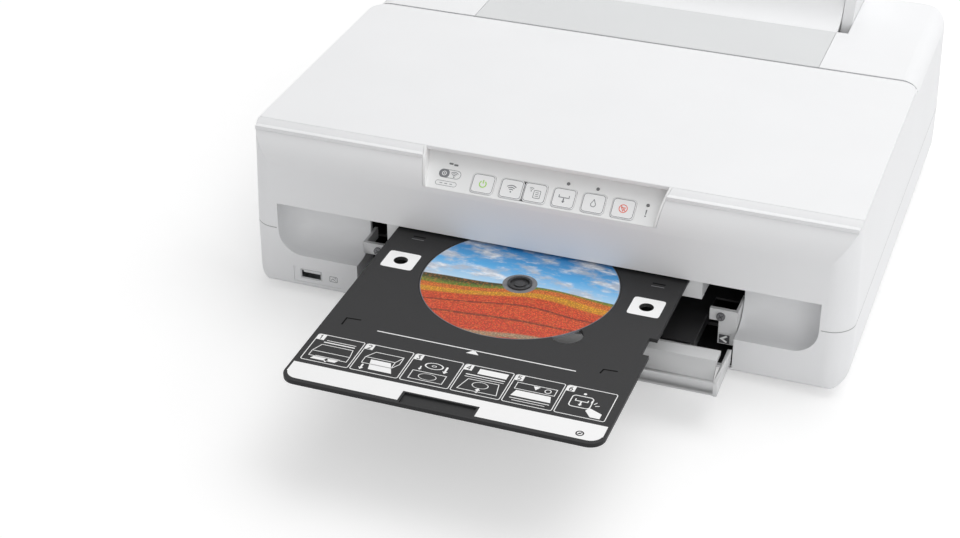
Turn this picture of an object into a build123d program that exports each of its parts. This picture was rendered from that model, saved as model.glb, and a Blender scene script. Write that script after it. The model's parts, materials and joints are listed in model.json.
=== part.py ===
"""Disc label printer: an inkjet printer with a disc tray under its control panel.

Frame: millimetres, +Z up, +Y to the back, X to the right as seen from the front.
The origin is on the floor below the middle of the whole outline, tray included.
Places along Y are given behind the fascia and go through the helpers below.
"""
import os
from math import cos, radians, sin, sqrt, tan

from build123d import *

os.makedirs("parts", exist_ok=True)

# ---- Driving dimensions: the case ---------------------------------------------------------
case_width = 390.0
case_depth = 338.0
wall = 2.4
foot_height = 5.0
seam_height = 46.0
fascia_bottom = 64.0
deck_height = 115.5
cover_half_width = case_width / 2 - 2.2
cover_front = 16.5
cover_rear = 207.2
front_corner = 15.0
rear_corner = 20.0
bottom_round = 13.0
fit_gap = 0.3
slide_gap = 0.4
boss_inset = 14.0
boss_y = (60.0, case_depth - 48.0)
boss_radius = 5.0
screw_radius = 1.65

# ---- Driving dimensions: front opening, scoops and ports -----------------------------------
opening_left = -121.5
opening_right = 125.2
scoop_side = case_width / 2 - 19.3
scoop_depth = 24.0
scoop_lip = 28.3
scoop_round = 16.0
port_plate_x = (-166.5, -133.0)
port_plate_z = (8.5, 19.6)
port_x = (-162.0, -147.0)
port_z = (11.0, 18.0)
inlet_x = (27.0 - case_width / 2, 55.0 - case_width / 2)
inlet_z = (14.0, 34.0)
rear_port_x = (case_width / 2 - 45.0, case_width / 2 - 32.0)
rear_port_z = (18.0, 30.0)

# ---- Driving dimensions: control panel -----------------------------------------------------
panel_slope = 38.0
panel_length = 27.0
panel_front = 1.5
panel_base = 94.5
panel_bottom_x = (-75.0, 73.5)
panel_top_x = (-80.4, 78.6)
panel_thickness = 2.5
button_width = 14.6
button_height = 13.0
button_row = 8.6
button_travel = 0.8
button_places = {
    "power_button": -38.5,
    "wireless_button": -20.1,
    "status_button": -4.9,
    "feed_button": 13.5,
    "ink_button": 32.2,
    "cancel_button": 50.9,
}
lens_places = ((13.8, 18.5), (32.5, 18.4), (65.0, 13.6))
link_lens_places = ((-62.0, 18.3), (-58.7, 17.8))

# ---- Driving dimensions: disc and trays ----------------------------------------------------
disc_diameter = 120.0
disc_bore = 15.0
disc_thickness = 1.2
tray_left = -92.6
tray_right = 94.75
tray_length = 245.0
tray_thickness = 2.4
tray_base = 60.0
tray_reach = 174.5
tray_corner = 9.0
disc_setback = 138.7
stacker_half_width = 101.5
stacker_reach = 42.0
stacker_bar_depth = 18.0
stacker_top = 34.7
stacker_length = 190.0
lip_reach = 52.0
stacker_base = 20.3
cassette_half_width = 94.0
cassette_length = 228.0
cassette_base = 8.0
cassette_height = 10.5
cassette_setback = 2.0

# ---- Driving dimensions: paper feeder at the back ------------------------------------------
feeder_left = -118.1
feeder_right = 125.9
feeder_front = 207.7
guard_rear = 269.0
support_slope = 65.5
support_top = 163.0
support_top_y = 310.0
support_plate = 2.4
cheek_width = 7.5
well_front = 216.0
well_floor = 64.5
well_rear = 268.0
well_top = 109.0
hopper_slope = 70.0
hopper_foot_y = 250.0
hopper_foot_z = 70.0
hopper_plate_length = 38.0
paper_half_width = 108.0

# ---- Driving dimensions: mechanism ---------------------------------------------------------
plate_left = 35.0 - case_width / 2
plate_right = case_width / 2 - 21.0
plate_thickness = 1.5
roller_radius = 6.0
roller_axis_z = 53.6
feed_y = 119.0
gear_module = 1.0
feed_teeth = 44
idler_teeth = 48
eject_teeth = 20
pinion_teeth = 10
gear_width = 5.0
shaft_radius = 3.0
bore_gap = 0.06
rail_y = 124.0
rail_z = 84.0
rod_radius = 4.0
carriage_width = 76.0

# ---- Derived places ------------------------------------------------------------------------
front_y = (tray_reach - case_depth) / 2
half_width = case_width / 2
boss_x = (boss_inset - half_width, half_width - boss_inset)
carriage_park_x = plate_right - 40.0
middle_x = (opening_left + opening_right) / 2
tray_x = (tray_left + tray_right) / 2
feeder_x = (feeder_left + feeder_right) / 2
idler_y = feed_y - gear_module * (feed_teeth + idler_teeth) / 2
eject_y = idler_y - gear_module * (idler_teeth + eject_teeth) / 2


# ---- Helpers -------------------------------------------------------------------------------
def block(x_span, y_span, z_span, mode=Mode.ADD):
    """Box between two sides along each axis, with Y behind the fascia."""
    sizes = [span[1] - span[0] for span in (x_span, y_span, z_span)]
    middle = [sum(span) / 2 for span in (x_span, y_span, z_span)]
    with Locations((middle[0], front_y + middle[1], middle[2])):
        Box(*sizes, mode=mode)


def bar(x_span, y, z, radius, mode=Mode.ADD):
    """Round bar along X, with Y behind the fascia."""
    with BuildSketch(Plane.YZ.offset(x_span[0])) as section:
        with Locations((front_y + y, z)):
            Circle(radius)
    extrude(section.sketch, amount=x_span[1] - x_span[0], mode=mode)


def side_prism(x_span, points, mode=Mode.ADD):
    """Prism along X over a closed outline of (Y behind the fascia, Z) points."""
    with BuildSketch(Plane.YZ.offset(x_span[0])) as section:
        with BuildLine():
            Polyline([(front_y + y, z) for y, z in points], close=True)
        make_face()
    extrude(section.sketch, amount=x_span[1] - x_span[0], mode=mode)


def post(x, y, z_span, radius, mode=Mode.ADD):
    """Upright round post, with Y behind the fascia."""
    with BuildSketch(Plane.XY.offset(z_span[0])) as section:
        with Locations((x, front_y + y)):
            Circle(radius)
    extrude(section.sketch, amount=z_span[1] - z_span[0], mode=mode)


def gear_face(teeth, x, y, z, bore, turn=0.0):
    """Spur gear outline on the plane X = x, centred at (y, z), with tapered teeth."""
    pitch_radius = gear_module * teeth / 2
    tip = pitch_radius + 0.8 * gear_module
    root = pitch_radius - 1.1 * gear_module
    with BuildSketch(Plane.YZ.offset(x)) as face:
        with Locations((front_y + y, z)):
            Circle(root)
            with PolarLocations(0, teeth, start_angle=turn):
                with Locations(((root + tip) / 2 - 0.1, 0)):
                    Trapezoid(1.9 * gear_module, tip - root + 0.2, 76, rotation=-90)
            if bore:
                Circle(bore, mode=Mode.SUBTRACT)
    return face.sketch


def save(builder, name):
    """Label one finished piece and write it under its node name."""
    builder.part.label = name
    export_step(builder.part, f"parts/{name}.step")


# ---- Case ----------------------------------------------------------------------------------
def case_section(height, half, inset=0.0):
    """Rounded plan of the case at one height, drawn in by inset."""
    with BuildSketch(Plane.XY.offset(height)) as section:
        with Locations((0, front_y + case_depth / 2)):
            Rectangle(2 * (half - inset), case_depth - 2 * inset)
        fillet(section.vertices().group_by(Axis.Y)[0], front_corner - inset)
        fillet(section.vertices().group_by(Axis.Y)[-1], rear_corner - inset)
    return section.sketch


def edge_waste(radius, edge, low):
    """Section of what one rounded bottom edge leaves out, in (outward, up) from the middle.

    The round is a hair wide of the faces it joins, so that it meets each at a real angle."""
    wide = radius + 0.02
    middle = (edge - radius, low + radius)
    with BuildLine() as outline:
        start, end = (middle[0], middle[1] - wide), (middle[0] + wide, middle[1])
        ThreePointArc(start, (middle[0] + wide * sin(radians(45)), middle[1] - wide * sin(radians(45))), end)
        Polyline(end, (edge + 9, end[1]), (edge + 9, low - 9), (start[0], low - 9), start)
    return outline.line


def lower_tub(inset, top=seam_height):
    """Solid of the lower case up to one height, drawn in by inset, with its bottom edges rounded."""
    low = foot_height + inset
    middle_y = front_y + case_depth / 2
    edges = (
        (Plane((0, middle_y, 0), (1, 0, 0), (0, -1, 0)), half_width - inset, bottom_round - inset),
        (Plane((0, middle_y, 0), (-1, 0, 0), (0, 1, 0)), half_width - inset, bottom_round - inset),
        (Plane((0, middle_y, 0), (0, 1, 0), (1, 0, 0)), case_depth / 2 - inset, bottom_round - inset),
        (Plane((0, middle_y, 0), (0, -1, 0), (-1, 0, 0)), case_depth / 2 - inset, 2.5),
    )
    with BuildPart() as tub:
        extrude(case_section(low, half_width, inset), amount=top + inset - low)
        for plane, edge, radius in edges:
            with BuildSketch(plane) as waste:
                with BuildLine():
                    add(edge_waste(radius, edge, low))
                make_face()
            extrude(waste.sketch, amount=case_width, both=True, mode=Mode.SUBTRACT)
    return tub.part


def scoop_cutter(side):
    """Finger scoop of one front block, open to the front and to the middle opening."""
    outer = side * scoop_side
    inner = (opening_right if side > 0 else opening_left) - side * 20
    x_span = (min(outer, inner), max(outer, inner))
    with BuildPart() as scoop:
        block(x_span, (-40, scoop_depth), (scoop_lip, fascia_bottom + fit_gap))
        back = scoop.faces().sort_by(Axis.Y)[-1]
        outer_face = scoop.faces().sort_by(Axis.X)[-1 if side > 0 else 0]
        floor = scoop.faces().sort_by(Axis.Z)[0]
        rounds = [
            edge
            for edge in scoop.edges()
            if sum(face.distance_to(edge @ 0.5) < 1e-4 for face in (back, outer_face, floor)) > 1
        ]
        fillet(rounds, scoop_round)
    return scoop.part


block_envelope = lower_tub(0.0, deck_height)
with BuildPart() as corner_hollow:
    add(lower_tub(wall))
    block((-scoop_side - wall, scoop_side + wall), (-5, case_depth + 5), (0, 60), mode=Mode.SUBTRACT)


def front_block(side):
    """One block beside the opening: its shell, its scoop and the hollow below the scoop."""
    inner = opening_left if side < 0 else opening_right

    def span(outer, inward):
        """Ordered X limits from a distance off the middle to a line near the opening."""
        return (min(side * outer, inward), max(side * outer, inward))

    with BuildPart() as front:
        block(span(half_width, inner), (0, scoop_depth + wall), (foot_height, seam_height))
        block(
            span(scoop_side + wall, inner),
            (wall + fit_gap, scoop_depth + wall),
            (seam_height - 6, fascia_bottom + fit_gap + wall),
        )
        block(span(scoop_side, inner), (0, wall + fit_gap), (seam_height - 6, fascia_bottom))
        add(corner_hollow.part, mode=Mode.SUBTRACT)
        add(scoop_cutter(side), mode=Mode.SUBTRACT)
        block(
            span(scoop_side - 2, inner + side * wall),
            (wall, scoop_depth + wall + 1),
            (foot_height + wall, scoop_lip - wall),
            mode=Mode.SUBTRACT,
        )
        add(block_envelope, mode=Mode.INTERSECT)
    return front.part


with BuildPart() as lower_case:
    add(lower_tub(0.0))
    add(lower_tub(wall), mode=Mode.SUBTRACT)
    # Middle opening through the front wall
    block((opening_left, opening_right), (-5, 40), (foot_height + wall, seam_height + 5), mode=Mode.SUBTRACT)
    for side in (-1, 1):
        cut_x = tuple(sorted((side * scoop_side, side * 120)))
        block(cut_x, (-5, wall + 1), (foot_height + wall, seam_height + 5), mode=Mode.SUBTRACT)
        add(front_block(side))
    # Recessed port plate and the port hole in the left block
    block(port_plate_x, (-1, 0.8), port_plate_z, mode=Mode.SUBTRACT)
    block(port_x, (-1, 6), port_z, mode=Mode.SUBTRACT)
    # Bosses that the case screws enter from below
    for x in boss_x:
        for y in boss_y:
            post(x, y, (foot_height + wall - 0.5, seam_height - 4), boss_radius)
            post(x, y, (foot_height - 1, seam_height - 10), screw_radius + 0.05, mode=Mode.SUBTRACT)
    # Mains inlet and rear port openings
    for opening_x, opening_z in ((inlet_x, inlet_z), (rear_port_x, rear_port_z)):
        block(opening_x, (case_depth - 5, case_depth + 5), opening_z, mode=Mode.SUBTRACT)
save(lower_case, "lower_case")

# Places of the top cover's hinge, worked out from the cover
cover_skin = 2.4
rim_top = deck_height - cover_skin - 0.2
hinge_y = cover_rear - 4.0
hinge_z = deck_height - cover_skin - 2.0
hinge_barrel = 1.9
hinge_pin = 1.0
hinge_sweep = sqrt((cover_rear - hinge_y) ** 2 + (deck_height - hinge_z) ** 2) + 0.35
hinge_lug_x = cover_half_width - 42.3
hinge_lug_width = 6.0
hinge_ear_gap = 0.4
bay_x = (24.0 - half_width, half_width - 24.0)
bay_y = (30.0, 196.0)

# The panel's plane: X across, its second axis up the slope, its normal out of the case
panel_plane = Plane(
    origin=(0, front_y + panel_front, panel_base),
    x_dir=(1, 0, 0),
    z_dir=(0, -sin(radians(panel_slope)), cos(radians(panel_slope))),
)


# The bullnose round: it meets the fascia at its top and the deck at the cover's front edge
nose_y, nose_z = front_y + 27.0, 90.6
nose_radius = 27.04


def upper_solid(inset):
    """Outer solid of the upper case, drawn in by inset, with the bullnose band at the front."""
    with BuildPart() as solid:
        low = case_section(seam_height - (5 if inset else 0), half_width, inset)
        high = case_section(deck_height - inset, cover_half_width, inset)
        loft(sections=[low, high], ruled=True)
        with BuildSketch(Plane.YZ.offset(-half_width - 5)) as nose:
            reach = nose_radius - inset
            foot, belly, crown = (
                (nose_y - reach * cos(radians(turn)), nose_z + reach * sin(radians(turn)))
                for turn in (0, 40, 80)
            )
            with BuildLine():
                ThreePointArc(foot, belly, crown)
                above, ahead = deck_height + 5, front_y - 10
                Polyline(crown, (crown[0], above), (ahead, above), (ahead, foot[1]), foot)
            make_face()
        extrude(nose.sketch, amount=case_width + 10, mode=Mode.SUBTRACT)
        # Rounded shoulders beside the rear deck
        shoulder = 11.0
        for side in (-1, 1):
            edge_x = side * (cover_half_width - inset)
            with BuildSketch(Plane.XZ.offset(-(front_y + feeder_front))) as corner:
                with BuildLine():
                    top = deck_height - inset
                    start = (edge_x - side * shoulder, top)
                    end = (edge_x + side * 0.9, top - shoulder)
                    Line(start, (edge_x + side * 8, top))
                    Line((edge_x + side * 8, top), (edge_x + side * 8, top - shoulder))
                    Line((edge_x + side * 8, top - shoulder), end)
                    turn = shoulder * (1 - cos(radians(45)))
                    ThreePointArc(end, (edge_x + side * 0.3 - side * turn, top - turn), start)
                make_face()
            extrude(corner.sketch, amount=-case_depth, mode=Mode.SUBTRACT)
    return solid.part


def panel_outline(grow, offset=0.0):
    """Outline of the control panel on its slope, grown all round."""
    with BuildSketch(panel_plane.offset(offset)) as outline:
        with BuildLine():
            Polyline(
                (panel_bottom_x[0] - grow, -grow),
                (panel_bottom_x[1] + grow, -grow),
                (panel_top_x[1] + grow, panel_length + grow),
                (panel_top_x[0] - grow, panel_length + grow),
                close=True,
            )
        make_face()
    return outline.sketch


upper_outer = upper_solid(0.0)
upper_inner = upper_solid(wall)
cutout_x = (feeder_left - fit_gap, feeder_right + fit_gap)
housing_x = (feeder_left - 0.4 - cheek_width, feeder_right + 0.4 + cheek_width)
support_lean = tan(radians(90 - support_slope))


def support_y(z, ahead=0.0):
    """Y of the paper support's front face at a height, moved forward by ahead."""
    return support_top_y - (support_top - z) * support_lean - ahead


housing_foot_z = 84.0
housing_front_lead = 3.0
housing_rear = case_depth - 4.0
guard_axis_y = feeder_front + 5.3
guard_axis_z = deck_height - 4.0
guard_pin = 1.2
with BuildPart() as upper_case:
    add(upper_outer)
    add(upper_inner, mode=Mode.SUBTRACT)
    # Rim skin that the cover closes on, below the cover's plate
    block((-cover_half_width + 1, cover_half_width - 1), (wall + 6, feeder_front), (rim_top - wall, rim_top))
    # Bay of the cover, open to both sides
    block((-200, 200), (cover_front - 0.3, feeder_front), (rim_top, deck_height + 5), mode=Mode.SUBTRACT)
    block(bay_x, bay_y, (rim_top - wall - 3, rim_top + 1), mode=Mode.SUBTRACT)
    # Gutter that the cover's rear edge swings in
    gutter = (
        (hinge_y, deck_height + 5),
        (hinge_y, hinge_z - 2.9),
        (hinge_y + hinge_sweep, hinge_z - 2.9),
        (hinge_y + hinge_sweep, hinge_z),
        (hinge_y + hinge_sweep * 0.72, deck_height + 5),
    )
    side_prism((-200, 200), gutter, mode=Mode.SUBTRACT)
    for side in (-1, 1):
        lug_start = hinge_lug_x - 1.5
        lug_end = hinge_lug_x + 2 * hinge_lug_width + 3.5
        pocket = (min(side * lug_start, side * lug_end), max(side * lug_start, side * lug_end))
        block(pocket, (hinge_y - 3.6, feeder_front), (rim_top - wall - 3, rim_top + 1), mode=Mode.SUBTRACT)
        # Ear that carries the cover's pin, on a web below the gutter
        ear_start = hinge_lug_x + hinge_lug_width + hinge_ear_gap
        ear_end = ear_start + hinge_lug_width - 0.8
        ear = (min(side * ear_start, side * ear_end), max(side * ear_start, side * ear_end))
        bar(ear, hinge_y, hinge_z, hinge_barrel)
        block(ear, (hinge_y - 1.5, hinge_y + 1.5), (hinge_z - 8, hinge_z))
        shelf = tuple(sorted((side * (ear_start - 4), side * (cover_half_width + 0.2))))
        block(shelf, (hinge_y - 1.5, hinge_y + 8), (hinge_z - 9.5, hinge_z - 7))
        bar(ear, hinge_y, hinge_z, hinge_pin + bore_gap, mode=Mode.SUBTRACT)
    # Fascia stands only above the opening and the scoops
    block(
        (-scoop_side - 0.05, scoop_side + 0.05),
        (-5, wall + 1),
        (seam_height - 6, fascia_bottom),
        mode=Mode.SUBTRACT,
    )
    block((-scoop_side - wall - 0.2, scoop_side + wall + 0.2), (wall, 30), (40, 63), mode=Mode.SUBTRACT)
    # Recess that the control panel closes
    extrude(panel_outline(0.15, -panel_thickness - 0.1), amount=25, mode=Mode.SUBTRACT)
    # Cut-out of the feeder and of the rear housing
    block(cutout_x, (feeder_front - 4, well_rear + 4), (rim_top - 8, deck_height + 5), mode=Mode.SUBTRACT)
    block(
        (housing_x[0] - 0.2, housing_x[1] + 0.2),
        (guard_rear - 0.5, housing_rear + 0.2),
        (rim_top - 8, deck_height + 5),
        mode=Mode.SUBTRACT,
    )
    # Cheeks that carry the feeder guard's pins
    for outer, inner in ((cutout_x[0] - 2.4, cutout_x[0]), (cutout_x[1], cutout_x[1] + 2.4)):
        block((outer, inner), (guard_axis_y - 4, guard_axis_y + 9), (guard_axis_z - 6, deck_height - 1))
        bar((outer - 1, inner + 1), guard_axis_y, guard_axis_z, guard_pin + bore_gap, mode=Mode.SUBTRACT)
save(upper_case, "upper_case")

# ---- Top cover -----------------------------------------------------------------------------
with BuildPart() as top_cover:
    with BuildSketch(Plane.XY.offset(deck_height - cover_skin)) as plate:
        with Locations((0, front_y + (cover_front + cover_rear) / 2)):
            Rectangle(2 * cover_half_width, cover_rear - cover_front)
        fillet(plate.vertices().group_by(Axis.Y)[0], 2.0)
        fillet(plate.vertices().group_by(Axis.Y)[-1], 12.0)
    extrude(amount=cover_skin)
    fillet(top_cover.faces().sort_by(Axis.Z)[-1].edges(), 0.6)
    # Stiffening skirt inside the rim of the case
    skirt_gap = 1.5
    skirt_x = (bay_x[0] + skirt_gap, bay_x[1] - skirt_gap)
    skirt_y = (bay_y[0] + skirt_gap, bay_y[1] - skirt_gap)
    skirt_z = (rim_top - 5.5, deck_height - cover_skin)
    block(skirt_x, skirt_y, skirt_z)
    inside_x = (skirt_x[0] + 2, skirt_x[1] - 2)
    inside_y = (skirt_y[0] + 2, skirt_y[1] - 2)
    block(inside_x, inside_y, (skirt_z[0] - 1, skirt_z[1]), mode=Mode.SUBTRACT)
    for x in (-80, 0, 80):
        block((x - 0.9, x + 0.9), inside_y, (skirt_z[1] - 2.5, skirt_z[1]))
    for side in (-1, 1):
        lug_end = hinge_lug_x + hinge_lug_width
        lug = (min(side * hinge_lug_x, side * lug_end), max(side * hinge_lug_x, side * lug_end))
        pin_end = side * (lug_end + hinge_ear_gap + hinge_lug_width)
        bar(lug, hinge_y, hinge_z, hinge_barrel)
        block(lug, (hinge_y - hinge_barrel, hinge_y + hinge_barrel), (hinge_z, deck_height - cover_skin))
        bar((min(side * lug_end, pin_end), max(side * lug_end, pin_end)), hinge_y, hinge_z, hinge_pin)
save(top_cover, "top_cover")

# ---- Control panel -------------------------------------------------------------------------
aperture_gap = 0.2


def panel_box(x, u, width, height, low, high, corner, mode=Mode.ADD):
    """Rounded block standing on the panel's plane between two heights along its normal."""
    with BuildSketch(panel_plane.offset(low)) as face:
        with Locations((x, u)):
            RectangleRounded(width, height, corner)
    extrude(face.sketch, amount=high - low, mode=mode)


with BuildPart() as control_panel:
    extrude(panel_outline(0.0, -panel_thickness), amount=panel_thickness)
    # Side flanges that close the ends of the recess
    with BuildSketch(panel_plane) as flanges:
        for low_x, high_x, inward in (
            (panel_bottom_x[0], panel_top_x[0], 1.5),
            (panel_bottom_x[1], panel_top_x[1], -1.5),
        ):
            with BuildLine():
                Polyline(
                    (low_x, 0),
                    (low_x + inward, 0),
                    (high_x + inward, panel_length),
                    (high_x, panel_length),
                    close=True,
                )
            make_face()
    extrude(flanges.sketch, amount=14)
    add(upper_outer, mode=Mode.INTERSECT)
    block((-100, 100), (cover_front - 0.2, 40), (rim_top, deck_height + 2), mode=Mode.SUBTRACT)
    for name, x in button_places.items():
        hole_width = button_width + 2 * aperture_gap
        hole_height = button_height + 2 * aperture_gap
        panel_box(x, button_row, hole_width, hole_height, -5, 5, 2.4, mode=Mode.SUBTRACT)
    panel_box(
        (button_places["wireless_button"] + button_places["status_button"]) / 2,
        button_row,
        button_width,
        button_height + 2 * aperture_gap,
        -5,
        5,
        0.5,
        mode=Mode.SUBTRACT,
    )
    for x, u in lens_places:
        panel_box(x, u, 2.2, 2.2, -5, 5, 1.0, mode=Mode.SUBTRACT)
    for x, u in link_lens_places:
        panel_box(x, u, 2.8, 1.2, -5, 5, 0.4, mode=Mode.SUBTRACT)
save(control_panel, "control_panel")

button_proud = 0.5
button_inset = 3.4
for name, x in button_places.items():
    with BuildPart() as button:
        panel_box(x, button_row, button_width, button_height, -button_inset, button_proud, 2.2)
        fillet(button.faces().sort_by(Axis(panel_plane.origin, panel_plane.z_dir))[-1].edges(), 0.35)
        # Plunger that presses the switch
        with BuildSketch(panel_plane.offset(-button_inset)) as plunger:
            with Locations((x, button_row)):
                Circle(1.6)
        extrude(plunger.sketch, amount=-2.0)
    save(button, name)

with BuildPart() as indicator_lenses:
    for x, u in lens_places:
        panel_box(x, u, 2.0, 2.0, -panel_thickness, 0.1, 0.9)
    for x, u in link_lens_places:
        panel_box(x, u, 2.6, 1.0, -panel_thickness, 0.1, 0.3)
save(indicator_lenses, "indicator_lenses")

with BuildPart() as panel_board:
    board_top = -button_inset - 2.0 - button_travel - 0.2
    panel_box(0, 11.0, 132, 20, board_top - 1.6, board_top, 1.0)
    for x in (-68, 68):
        panel_box(x * 0.93, 5, 4, 4, board_top, -panel_thickness, 1.5)
save(panel_board, "panel_board")

# ---- Disc tray, disc and hub ---------------------------------------------------------------
tray_front = -tray_reach
tray_rear = tray_front + tray_length
disc_y = tray_front + disc_setback
tray_top = tray_base + tray_thickness
disc_recess = 1.4
notch_x, notch_y, notch_radius = 44.5, -42.5, 9.5
sensor_x, sensor_y, sensor_radius = (-75.9, 79.4), -35.3, 4.3
grip_x = (-21.0, 21.0)
grip_y = (tray_front + 1.2, tray_front + 10.8)
with BuildPart() as disc_tray:
    with BuildSketch(Plane.XY.offset(tray_base)) as outline:
        with Locations((tray_x, front_y + (tray_front + tray_rear) / 2)):
            Rectangle(tray_right - tray_left, tray_length)
        fillet(outline.vertices().group_by(Axis.Y)[0], tray_corner)
        fillet(outline.vertices().group_by(Axis.Y)[-1], tray_corner * 0.6)
    extrude(amount=tray_thickness)
    # Notch that the printer finds the loading place by
    block((tray_right - 4.5, tray_right + 1), (-83.5, -66), (tray_base - 1, tray_top + 1), mode=Mode.SUBTRACT)
    # Well of the disc and the finger notch beside it
    post(tray_x, disc_y, (tray_top - disc_recess, tray_top + 1), disc_diameter / 2 + 0.4, mode=Mode.SUBTRACT)
    post(notch_x, disc_y + notch_y, (tray_base - 1, tray_top + 1), notch_radius, mode=Mode.SUBTRACT)
    post(tray_x, disc_y, (tray_base - 1, tray_top), 3.0, mode=Mode.SUBTRACT)
    # Grip recess in the front edge
    block(grip_x, grip_y, (tray_top - 1.2, tray_top + 1), mode=Mode.SUBTRACT)
    # Holes that the printer's sensor looks for
    for x in sensor_x:
        post(x, sensor_y, (tray_base - 1, tray_top + 1), sensor_radius, mode=Mode.SUBTRACT)
save(disc_tray, "disc_tray")

disc_base = tray_top - disc_recess + 0.05
with BuildPart() as disc:
    post(tray_x, disc_y, (disc_base, disc_base + disc_thickness), disc_diameter / 2)
    post(tray_x, disc_y, (disc_base - 1, disc_base + 3), disc_bore / 2, mode=Mode.SUBTRACT)
save(disc, "disc")

with BuildPart() as tray_hub:
    hub_radius = disc_bore / 2 - 0.06
    post(tray_x, disc_y, (tray_top - disc_recess, disc_base + disc_thickness + 1.0), hub_radius)
    post(tray_x, disc_y, (tray_top - disc_recess + 0.8, tray_top + 3), hub_radius - 1.6, mode=Mode.SUBTRACT)
    post(tray_x, disc_y, (tray_top - disc_recess, tray_top + 0.2), 3.4)
    post(tray_x, disc_y, (tray_base + 0.1, tray_top), 2.95)
save(tray_hub, "tray_hub")

# ---- Output tray below the disc tray -------------------------------------------------------
bar_rear = -stacker_reach + stacker_bar_depth
bar_x = (opening_left + 2.0, opening_right - 2.0)
body_x = (middle_x - stacker_half_width, middle_x + stacker_half_width)
extension_top = stacker_base + 2.2
deck_base = stacker_top - 3.0
bar_foot = extension_top + slide_gap
with BuildPart() as output_tray:
    # Grip bar: a flat top, and a front that curves down to the extension
    with BuildSketch(Plane.YZ.offset(bar_x[0])) as grip_bar:
        with BuildLine():
            top_front = (front_y - stacker_reach + 6.5, stacker_top)
            foot_front = (front_y - stacker_reach - 1.5, bar_foot)
            sag = (front_y - stacker_reach + 3.4, bar_foot + 5.0)
            ThreePointArc(top_front, sag, foot_front)
            inner_front = (foot_front[0] + 3.0, bar_foot)
            hollow_top = (front_y - stacker_reach + 9.0, deck_base)
            Polyline(
                foot_front,
                inner_front,
                (inner_front[0] + 3.4, bar_foot + 3.4),
                hollow_top,
                (front_y + bar_rear, deck_base),
                (front_y + bar_rear, stacker_top),
                top_front,
            )
        make_face()
    extrude(grip_bar.sketch, amount=bar_x[1] - bar_x[0])
    block(body_x, (bar_rear, -stacker_reach + stacker_length), (deck_base, stacker_top - 0.6))
    for edge, inward in ((body_x[0], 2.0), (body_x[1], -2.0)):
        skirt = (min(edge, edge + inward), max(edge, edge + inward))
        block(skirt, (-10, -stacker_reach + stacker_length), (stacker_base, deck_base))
save(output_tray, "output_tray")

flange_x = (opening_left - 3.0, opening_right + 2.8)
with BuildPart() as output_tray_extension:
    inner_x = (body_x[0] + 2.0 + slide_gap, body_x[1] - 2.0 - slide_gap)
    block(inner_x, (-stacker_reach - 2, 120), (stacker_base, extension_top))
    block(flange_x, (-lip_reach + 1.5, -stacker_reach - 2), (stacker_base, extension_top))
    lip = (
        (-lip_reach + 4.5, stacker_base),
        (-lip_reach + 6.5, stacker_base),
        (-lip_reach + 2.6, 30.2),
        (-lip_reach, 30.2),
    )
    side_prism(flange_x, lip)
    for outer, inner in ((flange_x[0], flange_x[0] + 2.4), (flange_x[1] - 2.4, flange_x[1])):
        wing = (
            (-lip_reach + 1.0, stacker_base),
            (-18, stacker_base + 3),
            (-17, 32.0),
            (-lip_reach + 0.5, 31.0),
        )
        side_prism((outer, inner), wing)
save(output_tray_extension, "output_tray_extension")

# ---- Paper cassette ------------------------------------------------------------------------
cassette_x = (middle_x - cassette_half_width, middle_x + cassette_half_width)
cassette_y = (cassette_setback, cassette_setback + cassette_length)
with BuildPart() as paper_cassette:
    block(cassette_x, cassette_y, (cassette_base, cassette_base + cassette_height))
    inside = ((cassette_x[0] + 2.2, cassette_x[1] - 2.2), (cassette_y[0] + 2.5, cassette_y[1] - 2.2))
    block(*inside, (cassette_base + 2, cassette_base + cassette_height + 1), mode=Mode.SUBTRACT)
    # Finger dip in the front wall
    block(
        (middle_x - 22, middle_x + 22),
        (cassette_y[0] - 1, cassette_y[0] + 4),
        (cassette_base + 6, cassette_base + cassette_height + 1),
        mode=Mode.SUBTRACT,
    )
save(paper_cassette, "paper_cassette")

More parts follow.
